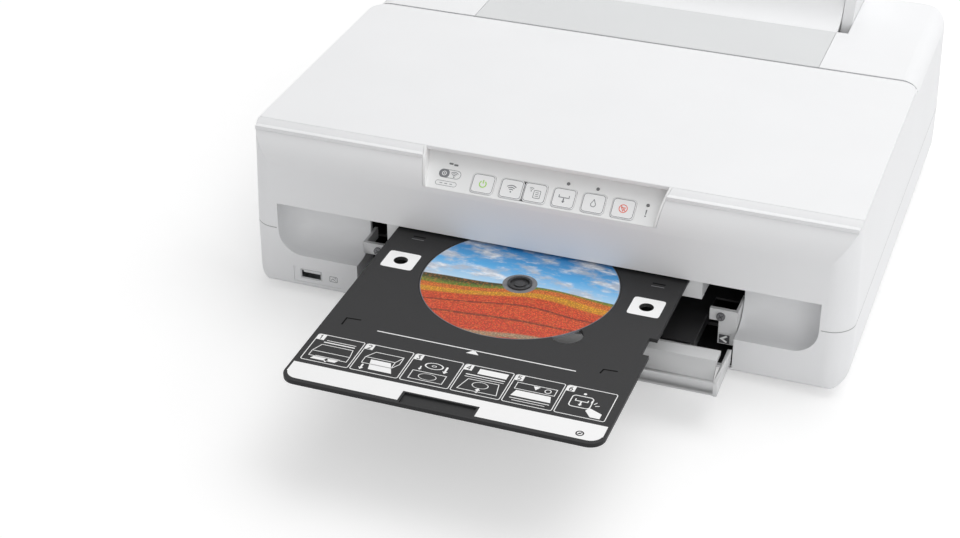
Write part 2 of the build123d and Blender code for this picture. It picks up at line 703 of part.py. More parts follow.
# ---- Inner frame round the opening ---------------------------------------------------------
frame_top = 57.1
frame_y = (scoop_depth + wall + fit_gap, 205.0)
ledge_z = (17.6, stacker_base - fit_gap)
with BuildPart() as inner_frame:
    for side, edge in ((-1, opening_left), (1, opening_right)):
        wall_x = (min(edge, edge + side * wall), max(edge, edge + side * wall))
        block(wall_x, frame_y, (foot_height + wall, frame_top))
        for y in (feed_y, eject_y):
            slot = (y - shaft_radius - 0.6, y + shaft_radius + 0.6)
            cut_x = (wall_x[0] - 1, wall_x[1] + 1)
            block(cut_x, slot, (roller_axis_z - shaft_radius - 0.6, frame_top + 1), mode=Mode.SUBTRACT)
        near = cassette_x[0 if side < 0 else 1] + side * (slide_gap + 2)
        ledge_x = (min(edge, near), max(edge, near))
        block(ledge_x, (frame_y[0], frame_y[1]), ledge_z)
        # Side guides of the cassette
        guide = cassette_x[0 if side < 0 else 1] + side * slide_gap
        guide_x = (min(guide, guide + side * 2), max(guide, guide + side * 2))
        block(guide_x, frame_y, (foot_height + wall, ledge_z[1]))
    block((opening_left, opening_right), (frame_y[1] - 30, frame_y[1]), (frame_top - 22, frame_top - 19.6))
    # Paper deck over the output tray, which curves up from behind the tray's grip bar
    deck_x = (body_x[0] - 2.6, body_x[1] + 2.6)
    deck_low = stacker_top - 0.6 + slide_gap
    with BuildSketch(Plane.YZ.offset(deck_x[0])) as paper_deck:
        with BuildLine():
            nose = (front_y + bar_rear + 2.0, deck_low)
            Polyline((front_y + 40, deck_low), nose, (nose[0], deck_low + 0.5))
            ThreePointArc(
                (nose[0], deck_low + 0.5),
                (nose[0] + 14, deck_low + 1.2),
                (front_y + 20, deck_low + 1.4),
            )
            Polyline((front_y + 20, deck_low + 1.4), (front_y + 40, deck_low + 1.4), (front_y + 40, deck_low))
        make_face()
    extrude(paper_deck.sketch, amount=deck_x[1] - deck_x[0])
    block((opening_left, opening_right), (frame_y[0] + 4.2, frame_y[1] - 20), (deck_low, deck_low + 1.4))
save(inner_frame, "inner_frame")

# ---- Tray guides beside the disc tray ------------------------------------------------------
guide_y = (3.5, 58.0)
guide_plate_z = (frame_top + fit_gap, tray_base - fit_gap)
bracket_y = (10.0, 12.6)
bracket_top = 41.0
screw_z = 36.4
screw_inset = 10.8


def span_from(line, way, near, far):
    """Ordered X limits at two distances from a line, to one side of it."""
    return tuple(sorted((line + way * near, line + way * far)))


for name, side, edge, wall_edge in (
    ("tray_guide_left", -1, tray_left, opening_left),
    ("tray_guide_right", 1, tray_right, opening_right),
):
    with BuildPart() as tray_guide:
        block(span_from(edge, side, -4.5, 8.5), guide_y, guide_plate_z)
        block(span_from(edge, side, slide_gap, 8.5), guide_y, (guide_plate_z[0], tray_top + 1.6))
        lip_y = (guide_y[0] + 6, guide_y[1])
        block(span_from(edge, side, -2.5, 8.5), lip_y, (tray_top + 0.4, tray_top + 1.6))
        block(span_from(edge, side, -4.5, 8.5), (guide_y[0], 22), (50.0, guide_plate_z[1]))
        # Arm to the side wall of the inner frame
        block(tuple(sorted((edge + side * 8.5, wall_edge))), (44, guide_y[1]), guide_plate_z)
        # Bracket at the side of the opening: an arm with the screw's hole, a leg with a
        # raised tile at its foot, and a flange along the front block's inner wall
        block(span_from(wall_edge, -side, 2.2, 18), bracket_y, (33.0, bracket_top))
        block(span_from(wall_edge, -side, 2.2, 12), bracket_y, (17.0, bracket_top))
        block(span_from(wall_edge, -side, 4.0, 11.4), (bracket_y[0] - 0.8, bracket_y[0]), (17.6, 24.6))
        flange = (
            (bracket_y[0], 18.0),
            (bracket_y[0], bracket_top),
            (frame_y[0] + 4, bracket_top),
            (frame_y[0] + 4, bracket_top - 8),
            (bracket_y[0] + 5, 18.0),
        )
        side_prism(span_from(wall_edge, -side, 0.5, 2.2), flange)
        root_y = (frame_y[0] + 0.5, frame_y[0] + 4)
        block(span_from(wall_edge, -side, 0, 2.2), root_y, (bracket_top - 8, bracket_top))
        with BuildSketch(Plane.XZ.offset(-(front_y + bracket_y[0] - 1))) as screw_hole:
            with Locations((wall_edge - side * screw_inset, screw_z)):
                Circle(1.5)
        extrude(screw_hole.sketch, amount=-5, mode=Mode.SUBTRACT)
    save(tray_guide, name)

with BuildPart() as guide_screws:
    for x in (opening_left + screw_inset, opening_right - screw_inset):
        for radius, reach in ((2.7, 1.3), (1.45, -4.0)):
            with BuildSketch(Plane.XZ.offset(-(front_y + bracket_y[0]))) as section:
                with Locations((x, screw_z)):
                    Circle(radius)
            extrude(section.sketch, amount=reach)
save(guide_screws, "guide_screws")

# ---- Feeder guard, paper support and rear housing ------------------------------------------
guard_x = (feeder_left, feeder_right)
guard_skin = 2.2
guard_top = deck_height - 0.2
with BuildPart() as feeder_guard:
    block(guard_x, (feeder_front + 1.7, guard_rear), (guard_top - guard_skin, guard_top))
    fillet(feeder_guard.edges().filter_by(Axis.X).group_by(Axis.Z)[-1], 0.6)
    for edge, side in ((feeder_left, 1), (feeder_right, -1)):
        lug = tuple(sorted((edge, edge + side * 5)))
        block(lug, (guard_axis_y - 1.8, guard_axis_y + 1.8), (guard_axis_z, guard_top - guard_skin))
        bar(lug, guard_axis_y, guard_axis_z, 1.8)
        bar(tuple(sorted((edge, edge - side * 2.4))), guard_axis_y, guard_axis_z, guard_pin)
    # Finger dip at the rear edge, on the underside
    dip_x = (feeder_x - 25, feeder_x + 25)
    block(dip_x, (guard_rear - 6, guard_rear + 1), (guard_top - 3, guard_top - 1.2), mode=Mode.SUBTRACT)
save(feeder_guard, "feeder_guard")

support_depth = support_plate / sin(radians(support_slope))
support_bend_z = 131.4
support_low_z = 86.0
foot_z = 113.4


def slope_outline(low, high, behind, depth):
    """Four corners of a plate on the support's slope, from a distance behind its front face."""
    return (
        (support_y(low) + behind, low),
        (support_y(high) + behind, high),
        (support_y(high) + behind + depth, high),
        (support_y(low) + behind + depth, low),
    )


tongue = 1.2
with BuildPart() as paper_support:
    side_prism(guard_x, slope_outline(support_low_z, support_top, 0, support_depth))
    tongue_x = (feeder_left - tongue, feeder_right + tongue)
    side_prism(tongue_x, slope_outline(support_low_z, foot_z - 4, 0, support_depth))
    with BuildSketch(Plane.YZ.offset(feeder_left)) as foot:
        with BuildLine():
            bend = (front_y + support_y(support_bend_z), support_bend_z)
            toe = (front_y + guard_rear + 0.6, foot_z)
            ThreePointArc(bend, (toe[0] + 0.62 * (bend[0] - toe[0]), foot_z + 6.8), toe)
            Line(toe, (toe[0], foot_z - 2.2))
            low_bend = (bend[0] + 0.8, support_bend_z - 3)
            low_sag = (toe[0] + 0.70 * (bend[0] - toe[0]), foot_z + 4.6)
            ThreePointArc((toe[0], foot_z - 2.2), low_sag, low_bend)
            Line(low_bend, bend)
        make_face()
    extrude(foot.sketch, amount=feeder_right - feeder_left)
    # Rails on the back that the extension slides in
    for x in (feeder_x - 63.4, feeder_x + 60.4):
        side_prism((x, x + 3), slope_outline(support_low_z, support_top - 3, support_depth, 2.6))
save(paper_support, "paper_support")

with BuildPart() as paper_support_extension:
    behind = support_depth + 0.4
    side_prism((feeder_x - 60, feeder_x + 60), slope_outline(92, support_top - 1.5, behind, 2.0))
    side_prism((feeder_x - 20, feeder_x + 20), slope_outline(support_top - 4, support_top - 1.5, behind, 3.4))
save(paper_support_extension, "paper_support_extension")

housing_top = 161.0
housing_cap_y = support_top_y + 6.5
with BuildPart() as rear_housing:
    cheek = (
        (support_y(housing_foot_z, housing_front_lead), housing_foot_z),
        (support_y(housing_top, housing_front_lead), housing_top),
        (housing_rear - 12, housing_top),
        (housing_rear - 3, housing_top - 4),
        (housing_rear, housing_top - 12),
        (housing_rear, housing_foot_z),
    )
    side_prism(housing_x, cheek)
    hollow_x = (feeder_left - 0.4, feeder_right + 0.4)
    hollow = (
        (support_y(housing_foot_z - 2, housing_front_lead + 4), housing_foot_z - 2),
        (support_y(housing_top + 2, housing_front_lead + 4), housing_top + 2),
        (housing_cap_y, housing_top + 2),
        (housing_cap_y, housing_top - 2.4),
        (housing_rear - 13, housing_top - 2.4),
        (housing_rear - 5, housing_top - 6),
        (housing_rear - 2.6, housing_top - 14),
        (housing_rear - 2.6, housing_foot_z - 2),
    )
    side_prism(hollow_x, hollow, mode=Mode.SUBTRACT)
    groove_x = (feeder_left - tongue - 0.4, feeder_right + tongue + 0.4)
    groove = slope_outline(housing_foot_z - 2, housing_top + 2, -0.3, support_depth + 0.6)
    side_prism(groove_x, groove, mode=Mode.SUBTRACT)
    # Back floor that ties the cheeks together behind the extension
    block(housing_x, (support_y(housing_foot_z) + 12, housing_rear), (housing_foot_z, housing_foot_z + 2.4))
save(rear_housing, "rear_housing")

# ---- Paper feeder --------------------------------------------------------------------------
pickup_y = 238.0
pickup_z = 80.0
pickup_radius = 11.0
well_x = (feeder_left, feeder_right)
hopper_lean = radians(90 - hopper_slope)
hopper_axis_y = hopper_foot_y + 14.6
hopper_axis_z = hopper_foot_z + 34.0
with BuildPart() as feeder_well:
    block(well_x, (well_front, well_rear + 2), (well_floor, well_top))
    block(
        (well_x[0] + 2, well_x[1] - 2),
        (well_front + 2, well_rear),
        (well_floor + 2, well_top + 1),
        mode=Mode.SUBTRACT,
    )
    # Slot that the paper leaves by
    block(
        (feeder_x - paper_half_width - 3, feeder_x + paper_half_width + 3),
        (well_front - 1, well_front + 3),
        (well_floor + 2, well_floor + 11),
        mode=Mode.SUBTRACT,
    )
    bar((well_x[0] - 1, well_x[1] + 1), pickup_y, pickup_z, shaft_radius + bore_gap, mode=Mode.SUBTRACT)
    bar((well_x[0] - 1, well_x[1] + 1), hopper_axis_y, hopper_axis_z, 1.5 + bore_gap, mode=Mode.SUBTRACT)
save(feeder_well, "feeder_well")

with BuildPart() as pickup_roller:
    bar((well_x[0] + 0.3, well_x[1] - 0.3), pickup_y, pickup_z, shaft_radius)
    bar((feeder_x - 15, feeder_x + 15), pickup_y, pickup_z, pickup_radius)
    fillet(pickup_roller.edges().filter_by(GeomType.CIRCLE).filter_by(lambda e: e.radius > 10), 1.0)
save(pickup_roller, "pickup_roller")

with BuildPart() as separation_pad:
    pad_z = (well_floor + 2, pickup_z - pickup_radius - 0.4)
    block((feeder_x - 16, feeder_x + 16), (pickup_y - 4, pickup_y + 7), pad_z)
save(separation_pad, "separation_pad")


def hopper_y(z, ahead=0.0):
    """Y of the hopper's front face at a height, moved forward by ahead."""
    return hopper_foot_y + (z - hopper_foot_z) * tan(hopper_lean) - ahead


def hopper_outline(low, high, ahead, depth):
    """Four corners of a plate parallel to the hopper, lying ahead of its front face."""
    return (
        (hopper_y(low, ahead), low),
        (hopper_y(high, ahead), high),
        (hopper_y(high, ahead + depth), high),
        (hopper_y(low, ahead + depth), low),
    )


hopper_top_z = hopper_foot_z + hopper_plate_length * cos(hopper_lean)
hopper_x = (well_x[0] + 2.4, well_x[1] - 2.4)
with BuildPart() as hopper:
    side_prism(hopper_x, hopper_outline(hopper_foot_z, hopper_top_z, -2.2, 2.2))
    bar((well_x[0] + 0.4, well_x[1] - 0.4), hopper_axis_y, hopper_axis_z, 1.5)
save(hopper, "hopper")

rack_depth = 1.6
guide_reach = 6.0
rack_height = 3.0
pinion_z = 90.0
pinion_radius = 4.0
for name, side in (("edge_guide_left", -1), ("edge_guide_right", 1)):
    with BuildPart() as edge_guide:
        face = feeder_x + side * paper_half_width
        plate_x = tuple(sorted((face, face + side * 2.4)))
        side_prism(plate_x, hopper_outline(hopper_foot_z + 4, 104.0, rack_depth + 0.8, guide_reach))
        rack_z = pinion_z + side * (pinion_radius + 0.45 + rack_height / 2)
        rack_x = tuple(sorted((face + side * 2.4, feeder_x - side * 12)))
        low, high = rack_z - rack_height / 2, rack_z + rack_height / 2
        side_prism(rack_x, hopper_outline(low, high, 0.3, rack_depth))
        side_prism(plate_x, hopper_outline(low, high, 0.3, rack_depth + 1.5))
    save(edge_guide, name)

hopper_face = Plane(
    origin=(feeder_x, front_y + hopper_y(pinion_z), pinion_z),
    x_dir=(1, 0, 0),
    z_dir=(0, -cos(hopper_lean), sin(hopper_lean)),
)
with BuildPart() as edge_guide_pinion:
    with BuildSketch(hopper_face.offset(0.2)):
        Circle(pinion_radius)
    extrude(amount=rack_depth)
    with BuildSketch(hopper_face):
        Circle(1.4)
    extrude(amount=0.3)
save(edge_guide_pinion, "edge_guide_pinion")

# ---- Chassis and gear train ----------------------------------------------------------------
plate_y = (28.0, 198.0)
beam_y = 139.0
beam_z = (70.0, 106.0)
gear_x = plate_left - 1.5 - gear_width
stud_radius = 2.5
motor_y = feed_y + gear_module * (feed_teeth + pinion_teeth) / 2
motor_radius = 12.0
pulley_z = 92.0
pulley_radius = 6.0
left_pulley_x = plate_left + 14.0
right_pulley_x = plate_right - 12.0
with BuildPart() as chassis:
    for x in (plate_left, plate_right):
        block((x, x + plate_thickness), plate_y, (foot_height + wall + 0.1, beam_z[1] + 1.0))
        ends = (x - 1, x + plate_thickness + 1)
        bar(ends, feed_y, roller_axis_z, shaft_radius + bore_gap, mode=Mode.SUBTRACT)
        bar(ends, eject_y, roller_axis_z, shaft_radius + bore_gap, mode=Mode.SUBTRACT)
    block((plate_left, plate_right + plate_thickness), (beam_y, beam_y + 1.5), beam_z)
    block((plate_left, plate_right + plate_thickness), (beam_y, beam_y + 12), (beam_z[0] - 1.5, beam_z[0]))
    bar((gear_x - 0.6, plate_left + 0.5), idler_y, roller_axis_z, stud_radius)
    motor_hole = (plate_left - 1, plate_left + plate_thickness + 1)
    bar(motor_hole, motor_y, roller_axis_z, 5.0, mode=Mode.SUBTRACT)
save(chassis, "chassis")

with BuildPart() as feed_roller:
    bar((gear_x - 1, plate_right + 3), feed_y, roller_axis_z, shaft_radius)
    bar((tray_left - 18, tray_right + 18), feed_y, roller_axis_z, roller_radius)
save(feed_roller, "feed_roller")

with BuildPart() as eject_roller:
    bar((gear_x - 1, plate_right + 3), eject_y, roller_axis_z, shaft_radius)
    for x in range(-75, 76, 25):
        bar((tray_x + x - 5, tray_x + x + 5), eject_y, roller_axis_z, roller_radius)
save(eject_roller, "eject_roller")

for name, teeth, y, bore, turn in (
    ("feed_gear", feed_teeth, feed_y, shaft_radius, 0.0),
    ("idler_gear", idler_teeth, idler_y, stud_radius + bore_gap, 180 / idler_teeth),
    ("eject_gear", eject_teeth, eject_y, shaft_radius, 0.0),
    ("motor_pinion", pinion_teeth, motor_y, 1.5, 180 / pinion_teeth),
):
    with BuildPart() as gear:
        extrude(gear_face(teeth, gear_x, y, roller_axis_z, bore, turn), amount=gear_width)
    save(gear, name)

with BuildPart() as feed_motor:
    inner_face = plate_left + plate_thickness
    bar((inner_face, inner_face + 26), motor_y, roller_axis_z, motor_radius)
    bar((gear_x - 0.5, plate_left + plate_thickness), motor_y, roller_axis_z, 1.45)
save(feed_motor, "feed_motor")

# ---- Carriage and its drive ----------------------------------------------------------------
carriage_y = (50.0, 114.0)
carriage_z = (66.5, 100.0)
carriage_x = (carriage_park_x - carriage_width / 2, carriage_park_x + carriage_width / 2)
belt_y = (132.6, 136.6)
with BuildPart() as carriage_rail:
    bar((plate_left + plate_thickness, plate_right), rail_y, rail_z, rod_radius)
save(carriage_rail, "carriage_rail")

with BuildPart() as carriage:
    block(carriage_x, carriage_y, carriage_z)
    inside_x = (carriage_x[0] + 1.6, carriage_x[1] - 1.6)
    inside_y = (carriage_y[0] + 2, carriage_y[1] - 2)
    block(inside_x, inside_y, (carriage_z[0] + 2, carriage_z[1] + 1), mode=Mode.SUBTRACT)
    block((carriage_x[0] + 6, carriage_x[1] - 6), (carriage_y[1] - 1, rail_y + 8), (rail_z - 7, rail_z + 7))
    bar((carriage_x[0], carriage_x[1]), rail_y, rail_z, rod_radius + bore_gap, mode=Mode.SUBTRACT)
    # Clamp between the two runs of the belt
    block((carriage_park_x - 10, carriage_park_x + 10), (rail_y + 4, belt_y[1] + 0.4), (87.0, 90.5))
save(carriage, "carriage")

cartridge_pitch = (carriage_width - 4) / 6
with BuildPart() as ink_cartridges:
    for index in range(6):
        low_x = carriage_x[0] + 2 + index * cartridge_pitch
        span = (low_x + 0.3, low_x + cartridge_pitch - 0.3)
        block(span, (inside_y[0] + 0.4, inside_y[1] - 0.4), (carriage_z[0] + 2, carriage_z[1] + 2))
        block(span, (inside_y[0] + 0.4, inside_y[0] + 16), (carriage_z[1] + 2, carriage_z[1] + 5))
save(ink_cartridges, "ink_cartridges")

with BuildPart() as print_head:
    block((carriage_park_x - 20, carriage_park_x + 20), (58, 98), (64.2, carriage_z[0]))
save(print_head, "print_head")

with BuildPart() as encoder_strip:
    block((plate_left + plate_thickness, plate_right), (beam_y - 0.9, beam_y - 0.5), (99.5, 104.5))
save(encoder_strip, "encoder_strip")


def pulley_sketch(x, radius):
    """Circle in the belt's plane, round one pulley's axis."""
    with BuildSketch(Plane.XZ.offset(-(front_y + belt_y[0]))) as circle:
        with Locations((x, pulley_z)):
            Circle(radius)
    return circle.sketch


with BuildPart() as timing_belt:
    length = right_pulley_x - left_pulley_x
    with BuildSketch(Plane.XZ.offset(-(front_y + belt_y[0]))) as loop:
        with Locations(((left_pulley_x + right_pulley_x) / 2, pulley_z)):
            SlotCenterToCenter(length, 2 * (pulley_radius + 1.1))
            SlotCenterToCenter(length, 2 * (pulley_radius + 0.05), mode=Mode.SUBTRACT)
    extrude(loop.sketch, amount=-(belt_y[1] - belt_y[0]))
save(timing_belt, "timing_belt")

for name, x in (("drive_pulley", left_pulley_x), ("idler_pulley", right_pulley_x)):
    with BuildPart() as pulley:
        extrude(pulley_sketch(x, pulley_radius), amount=-(belt_y[1] - belt_y[0]))
        extrude(pulley_sketch(x, 1.5), amount=-(beam_y - belt_y[0]))
    save(pulley, name)

with BuildPart() as carriage_motor:
    with BuildSketch(Plane.XZ.offset(-(front_y + beam_y + 1.5))) as can:
        with Locations((left_pulley_x, pulley_z)):
            Circle(motor_radius)
    extrude(can.sketch, amount=-24)
save(carriage_motor, "carriage_motor")

with BuildPart() as star_wheel_bar:
    block((plate_left + plate_thickness, plate_right), (eject_y - 5, eject_y + 5), (67.0, 70.0))
    for x in range(-75, 76, 25):
        bar((tray_x + x - 1, tray_x + x + 1), eject_y, 67.0, 3.2)
save(star_wheel_bar, "star_wheel_bar")

with BuildPart() as platen:
    platen_y = (guide_y[1] + 2, feed_y - roller_radius - 1)
    block((opening_left + 0.3, opening_right - 0.3), platen_y, (52.0, 54.0))
    for x in range(-108, 109, 18):
        block((tray_x + x - 1, tray_x + x + 1), platen_y, (54.0, tray_base - 0.5))
save(platen, "platen")

with BuildPart() as maintenance_station:
    station_x = (opening_right + wall + 1, plate_right - 1)
    block(station_x, (58, 104), (foot_height + wall + 0.3, 58.0))
    cap_x = (station_x[0] + 1, station_x[0] + 28)
    block(cap_x, (62, 96), (58.0, 63.6))
    block((cap_x[0] + 2, cap_x[1] - 2), (64, 94), (60.0, 64.0), mode=Mode.SUBTRACT)
save(maintenance_station, "maintenance_station")

# ---- Boards, ports and fasteners -----------------------------------------------------------
with BuildPart() as main_board:
    board_x = (opening_right + wall + 4.4, plate_right - 2)
    board_y = (112.0, case_depth - 18)
    board_z = (13.0, 14.6)
    block(board_x, board_y, board_z)
    # Processor and a row of sockets
    block((board_x[0] + 8, board_x[0] + 26), (board_y[0] + 38, board_y[0] + 56), (board_z[1], 17.0))
    block((board_x[1] - 22, board_x[1] - 2), (board_y[0] + 78, board_y[0] + 88), (board_z[1], 20.0))
    for x in (board_x[0] + 4, board_x[1] - 4):
        for y in (board_y[0] + 6, board_y[1] - 6):
            post(x, y, (foot_height + wall, board_z[0]), 2.5)
save(main_board, "main_board")

with BuildPart() as power_supply:
    supply_x = (plate_left + plate_thickness + 1.5, opening_left - wall - 2.1)
    block(supply_x, (60, 200), (foot_height + wall + 0.2, 38.0))
save(power_supply, "power_supply")

with BuildPart() as ac_inlet:
    shell_x = (inlet_x[0] + 0.2, inlet_x[1] - 0.2)
    shell_z = (inlet_z[0] + 0.2, inlet_z[1] - 0.2)
    block(shell_x, (case_depth - 18, case_depth), shell_z)
    socket_x = (shell_x[0] + 2.5, shell_x[1] - 2.5)
    socket_z = (shell_z[0] + 2.4, shell_z[1] - 2.4)
    block(socket_x, (case_depth - 14, case_depth + 1), socket_z, mode=Mode.SUBTRACT)
    # Two pins
    for x in (inlet_x[0] + 9.5, inlet_x[1] - 9.5):
        block((x - 1, x + 1), (case_depth - 15, case_depth - 4), (22.0, 26.0))
save(ac_inlet, "ac_inlet")

with BuildPart() as rear_usb_port:
    shell_x = (rear_port_x[0] + 0.2, rear_port_x[1] - 0.2)
    shell_z = (rear_port_z[0] + 0.2, rear_port_z[1] - 0.2)
    block(shell_x, (case_depth - 16, case_depth), shell_z)
    socket_x = (shell_x[0] + 1.4, shell_x[1] - 1.4)
    socket_z = (shell_z[0] + 1.4, shell_z[1] - 1.4)
    block(socket_x, (case_depth - 10, case_depth + 1), socket_z, mode=Mode.SUBTRACT)
    block((shell_x[0] + 3.3, shell_x[1] - 3.3), (case_depth - 11, case_depth - 2), (22.4, 25.4))
save(rear_usb_port, "rear_usb_port")

with BuildPart() as usb_host_port:
    block((port_x[0] + 0.2, port_x[1] - 0.2), (0.9, 15), (port_z[0] + 0.2, port_z[1] - 0.2))
    block((port_x[0] + 0.9, port_x[1] - 0.9), (0, 13), (port_z[0] + 0.9, port_z[1] - 0.9), mode=Mode.SUBTRACT)
    block((port_x[0] + 1.6, port_x[1] - 1.6), (2, 14), (port_z[1] - 3.0, port_z[1] - 1.4))
save(usb_host_port, "usb_host_port")

with BuildPart() as feet:
    for x in (33 - half_width, half_width - 33):
        for y in (32, case_depth - 38):
            post(x, y, (0, foot_height), 8)
save(feet, "feet")

with BuildPart() as case_screws:
    for x in boss_x:
        for y in boss_y:
            post(x, y, (foot_height - 1.4, foot_height), 3)
            post(x, y, (foot_height, seam_height - 12), screw_radius)
save(case_screws, "case_screws")
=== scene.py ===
import json
from functools import partial
from math import cos, pi, radians, sin

import bmesh
import bpy
from bpy.props import FloatProperty, FloatVectorProperty, IntProperty, PointerProperty
from mathutils import Matrix, Vector


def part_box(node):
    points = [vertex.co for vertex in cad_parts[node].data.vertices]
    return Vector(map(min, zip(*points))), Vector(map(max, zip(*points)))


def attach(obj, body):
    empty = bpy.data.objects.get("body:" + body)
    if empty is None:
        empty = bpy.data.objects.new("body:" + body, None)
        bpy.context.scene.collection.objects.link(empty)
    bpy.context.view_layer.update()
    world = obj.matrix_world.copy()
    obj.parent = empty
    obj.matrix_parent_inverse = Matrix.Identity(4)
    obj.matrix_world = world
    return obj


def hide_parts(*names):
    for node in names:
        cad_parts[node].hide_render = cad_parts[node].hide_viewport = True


bl_info = {
    "name": "Disc label printer",
    "version": (1, 0, 0),
    "blender": (4, 5, 0),
    "location": "View3D > Sidebar > Printer",
    "description": "Finishes, printed marks and small fittings of a desktop disc label printer",
    "category": "Object",
}

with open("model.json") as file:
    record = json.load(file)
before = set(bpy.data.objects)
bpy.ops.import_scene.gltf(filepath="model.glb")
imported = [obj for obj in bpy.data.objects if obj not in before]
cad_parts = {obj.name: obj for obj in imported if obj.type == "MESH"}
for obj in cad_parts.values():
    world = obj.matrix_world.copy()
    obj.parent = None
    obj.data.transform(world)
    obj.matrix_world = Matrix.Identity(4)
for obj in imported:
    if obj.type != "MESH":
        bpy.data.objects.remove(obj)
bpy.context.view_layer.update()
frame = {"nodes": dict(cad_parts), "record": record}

# Places shared with the case, in metres of the shared frame
MM = 0.001
TRAY_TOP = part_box("disc_tray")[1].z
disc_low, disc_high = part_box("disc")
FASCIA_Y = -0.08175
PANEL_SLOPE = radians(38.0)
PANEL_FOOT = Vector((0.0, FASCIA_Y + 0.0015, 0.0945))
PANEL_UP = Vector((0.0, cos(PANEL_SLOPE), sin(PANEL_SLOPE)))
SEAM_HEIGHT, SEAM_HALF = 0.046, 0.0003
SEAM_SIDE, SEAM_REAR = 0.1768, 0.2

# Stage, in metres and degrees
CAMERA_PLACE = (0.32192, -1.05215, 0.67826)
CAMERA_YAW, CAMERA_PITCH, CAMERA_ROLL = 19.8, 31.0, 0.1
CAMERA_SHIFT = (-0.0160, -0.0180)
CAMERA_RANGE = (0.05, 20.0)
SENSOR_WIDTH = 36.0
LAMP_TARGET = (0.0, 0.0, 0.05)
FLOOR_REACH, FLOOR_DROP, FLOOR_GLOW = 6.0, 0.0002, 0.37

# Printed marks and buttons, in millimetres. A button's place is its middle along X.
PRINT_LIFT, OVERPRINT_LIFT, PRINT_HEIGHT = 0.01, 0.07, 0.05
MITRE_LIMIT = 0.35
SHARP_ANGLE = radians(38)
BUTTON_PROUD = 0.5
BUTTON_ROW = 8.6
BUTTON_WIDTH, BUTTON_HEIGHT, BUTTON_CORNER = 13.4, 11.8, 2.0
BUTTONS = {
    "power_button": -38.5,
    "wireless_button": -20.1,
    "status_button": -4.9,
    "feed_button": 13.5,
    "ink_button": 32.2,
    "cancel_button": 50.9,
}


# ---- Settings that a user would change -----------------------------------------------------
def colour_setting(name, description, value):
    """Colour property with its name, description and linear default."""
    return FloatVectorProperty(
        name=name, description=description, subtype="COLOR", size=3, min=0, max=1, default=value
    )


class PrinterColours(bpy.types.PropertyGroup):
    """Colours of the printer's finishes"""
    case: colour_setting("Case white", "Outer case, lid and paper support", (0.86, 0.865, 0.875))
    pale: colour_setting("Pale grey", "Feeder guard and support extension", (0.70, 0.71, 0.715))
    panel: colour_setting("Panel grey", "Control panel", (0.88, 0.885, 0.885))
    button: colour_setting("Button white", "Caps of the six buttons", (0.90, 0.905, 0.91))
    stacker: colour_setting("Stacker grey", "Output tray, brackets and guides", (0.75, 0.755, 0.76))
    tray: colour_setting("Tray black", "Disc tray", (0.024, 0.024, 0.025))
    hub: colour_setting("Hub grey", "Spring hub of the disc tray", (0.034, 0.034, 0.036))
    frame: colour_setting(
        "Frame black", "Inner frame and mechanism mouldings", (0.012, 0.012, 0.013))
    paint: colour_setting("White print", "Marks printed on the disc tray", (0.93, 0.93, 0.93))
    mark: colour_setting("Grey print", "Outlines and symbols on the panel", (0.20, 0.205, 0.22))
    power: colour_setting("Power green", "Symbol of the power button", (0.42, 0.72, 0.16))
    cancel: colour_setting("Cancel red", "Symbol of the cancel button", (0.85, 0.16, 0.11))


class PrinterSizes(bpy.types.PropertyGroup):
    """Sizes of printed marks and small fittings"""
    outline: FloatProperty(
        name="Outline width", description="Line round each button, in millimetres",
        default=0.32, min=0.1, max=1.0)
    panels: IntProperty(
        name="Picture steps", description="Loading steps drawn on the tray",
        default=6, min=1, max=6)
    print_radius: FloatProperty(
        name="Print inner radius", description="Where the disc's picture starts",
        default=0.0105, min=0.009, max=0.03, unit="LENGTH")


class PrinterStage(bpy.types.PropertyGroup):
    """Light and camera"""
    key: FloatProperty(
        name="Key light", description="Large lamp above the back",
        default=25.0, min=0, unit="POWER")
    fill: FloatProperty(
        name="Front light", description="Lamp before the fascia",
        default=10.0, min=0, unit="POWER")
    side: FloatProperty(
        name="Side light", description="Lamp at the right", default=4.5, min=0, unit="POWER")
    world: FloatProperty(
        name="Room light", description="Even light from all round", default=0.42, min=0)
    lens: FloatProperty(
        name="Lens", description="Focal length in millimetres", default=73.09, min=10)


def settings():
    """The scene's colours, sizes and stage settings."""
    scene = bpy.context.scene
    return scene.printer_colours, scene.printer_sizes, scene.printer_stage


# ---- Shader writing ------------------------------------------------------------------------
def maths(operation, swapped=False):
    """A method that adds one Math node for a term and what it is given."""
    def method(self, *others):
        values = (*others, self) if swapped else (self, *others)
        options = {"operation": operation}
        return self.shader.node("ShaderNodeMath", options, dict(enumerate(values)))
    return method


class Term:
    """A shader socket that plain maths works on: each expression adds its Math node."""

    def __init__(self, shader, socket):
        self.shader = shader
        self.socket = socket

    __add__ = __radd__ = maths("ADD")
    __sub__ = maths("SUBTRACT")
    __rsub__ = maths("SUBTRACT", swapped=True)
    __mul__ = __rmul__ = maths("MULTIPLY")
    __truediv__ = maths("DIVIDE")
    above = maths("GREATER_THAN")
    below = maths("LESS_THAN")
    most = maths("MAXIMUM")
    wave = maths("SINE")
    part = maths("FRACT")

    def smooth(self, low, high):
        """0 below low, 1 above high, and an even turn between."""
        values = {"Value": self, "From Min": low, "From Max": high}
        return self.shader.node("ShaderNodeMapRange", {"interpolation_type": "SMOOTHSTEP"}, values)

    def other(self, name):
        """Another output of the same node."""
        return Term(self.shader, self.socket.node.outputs[name])


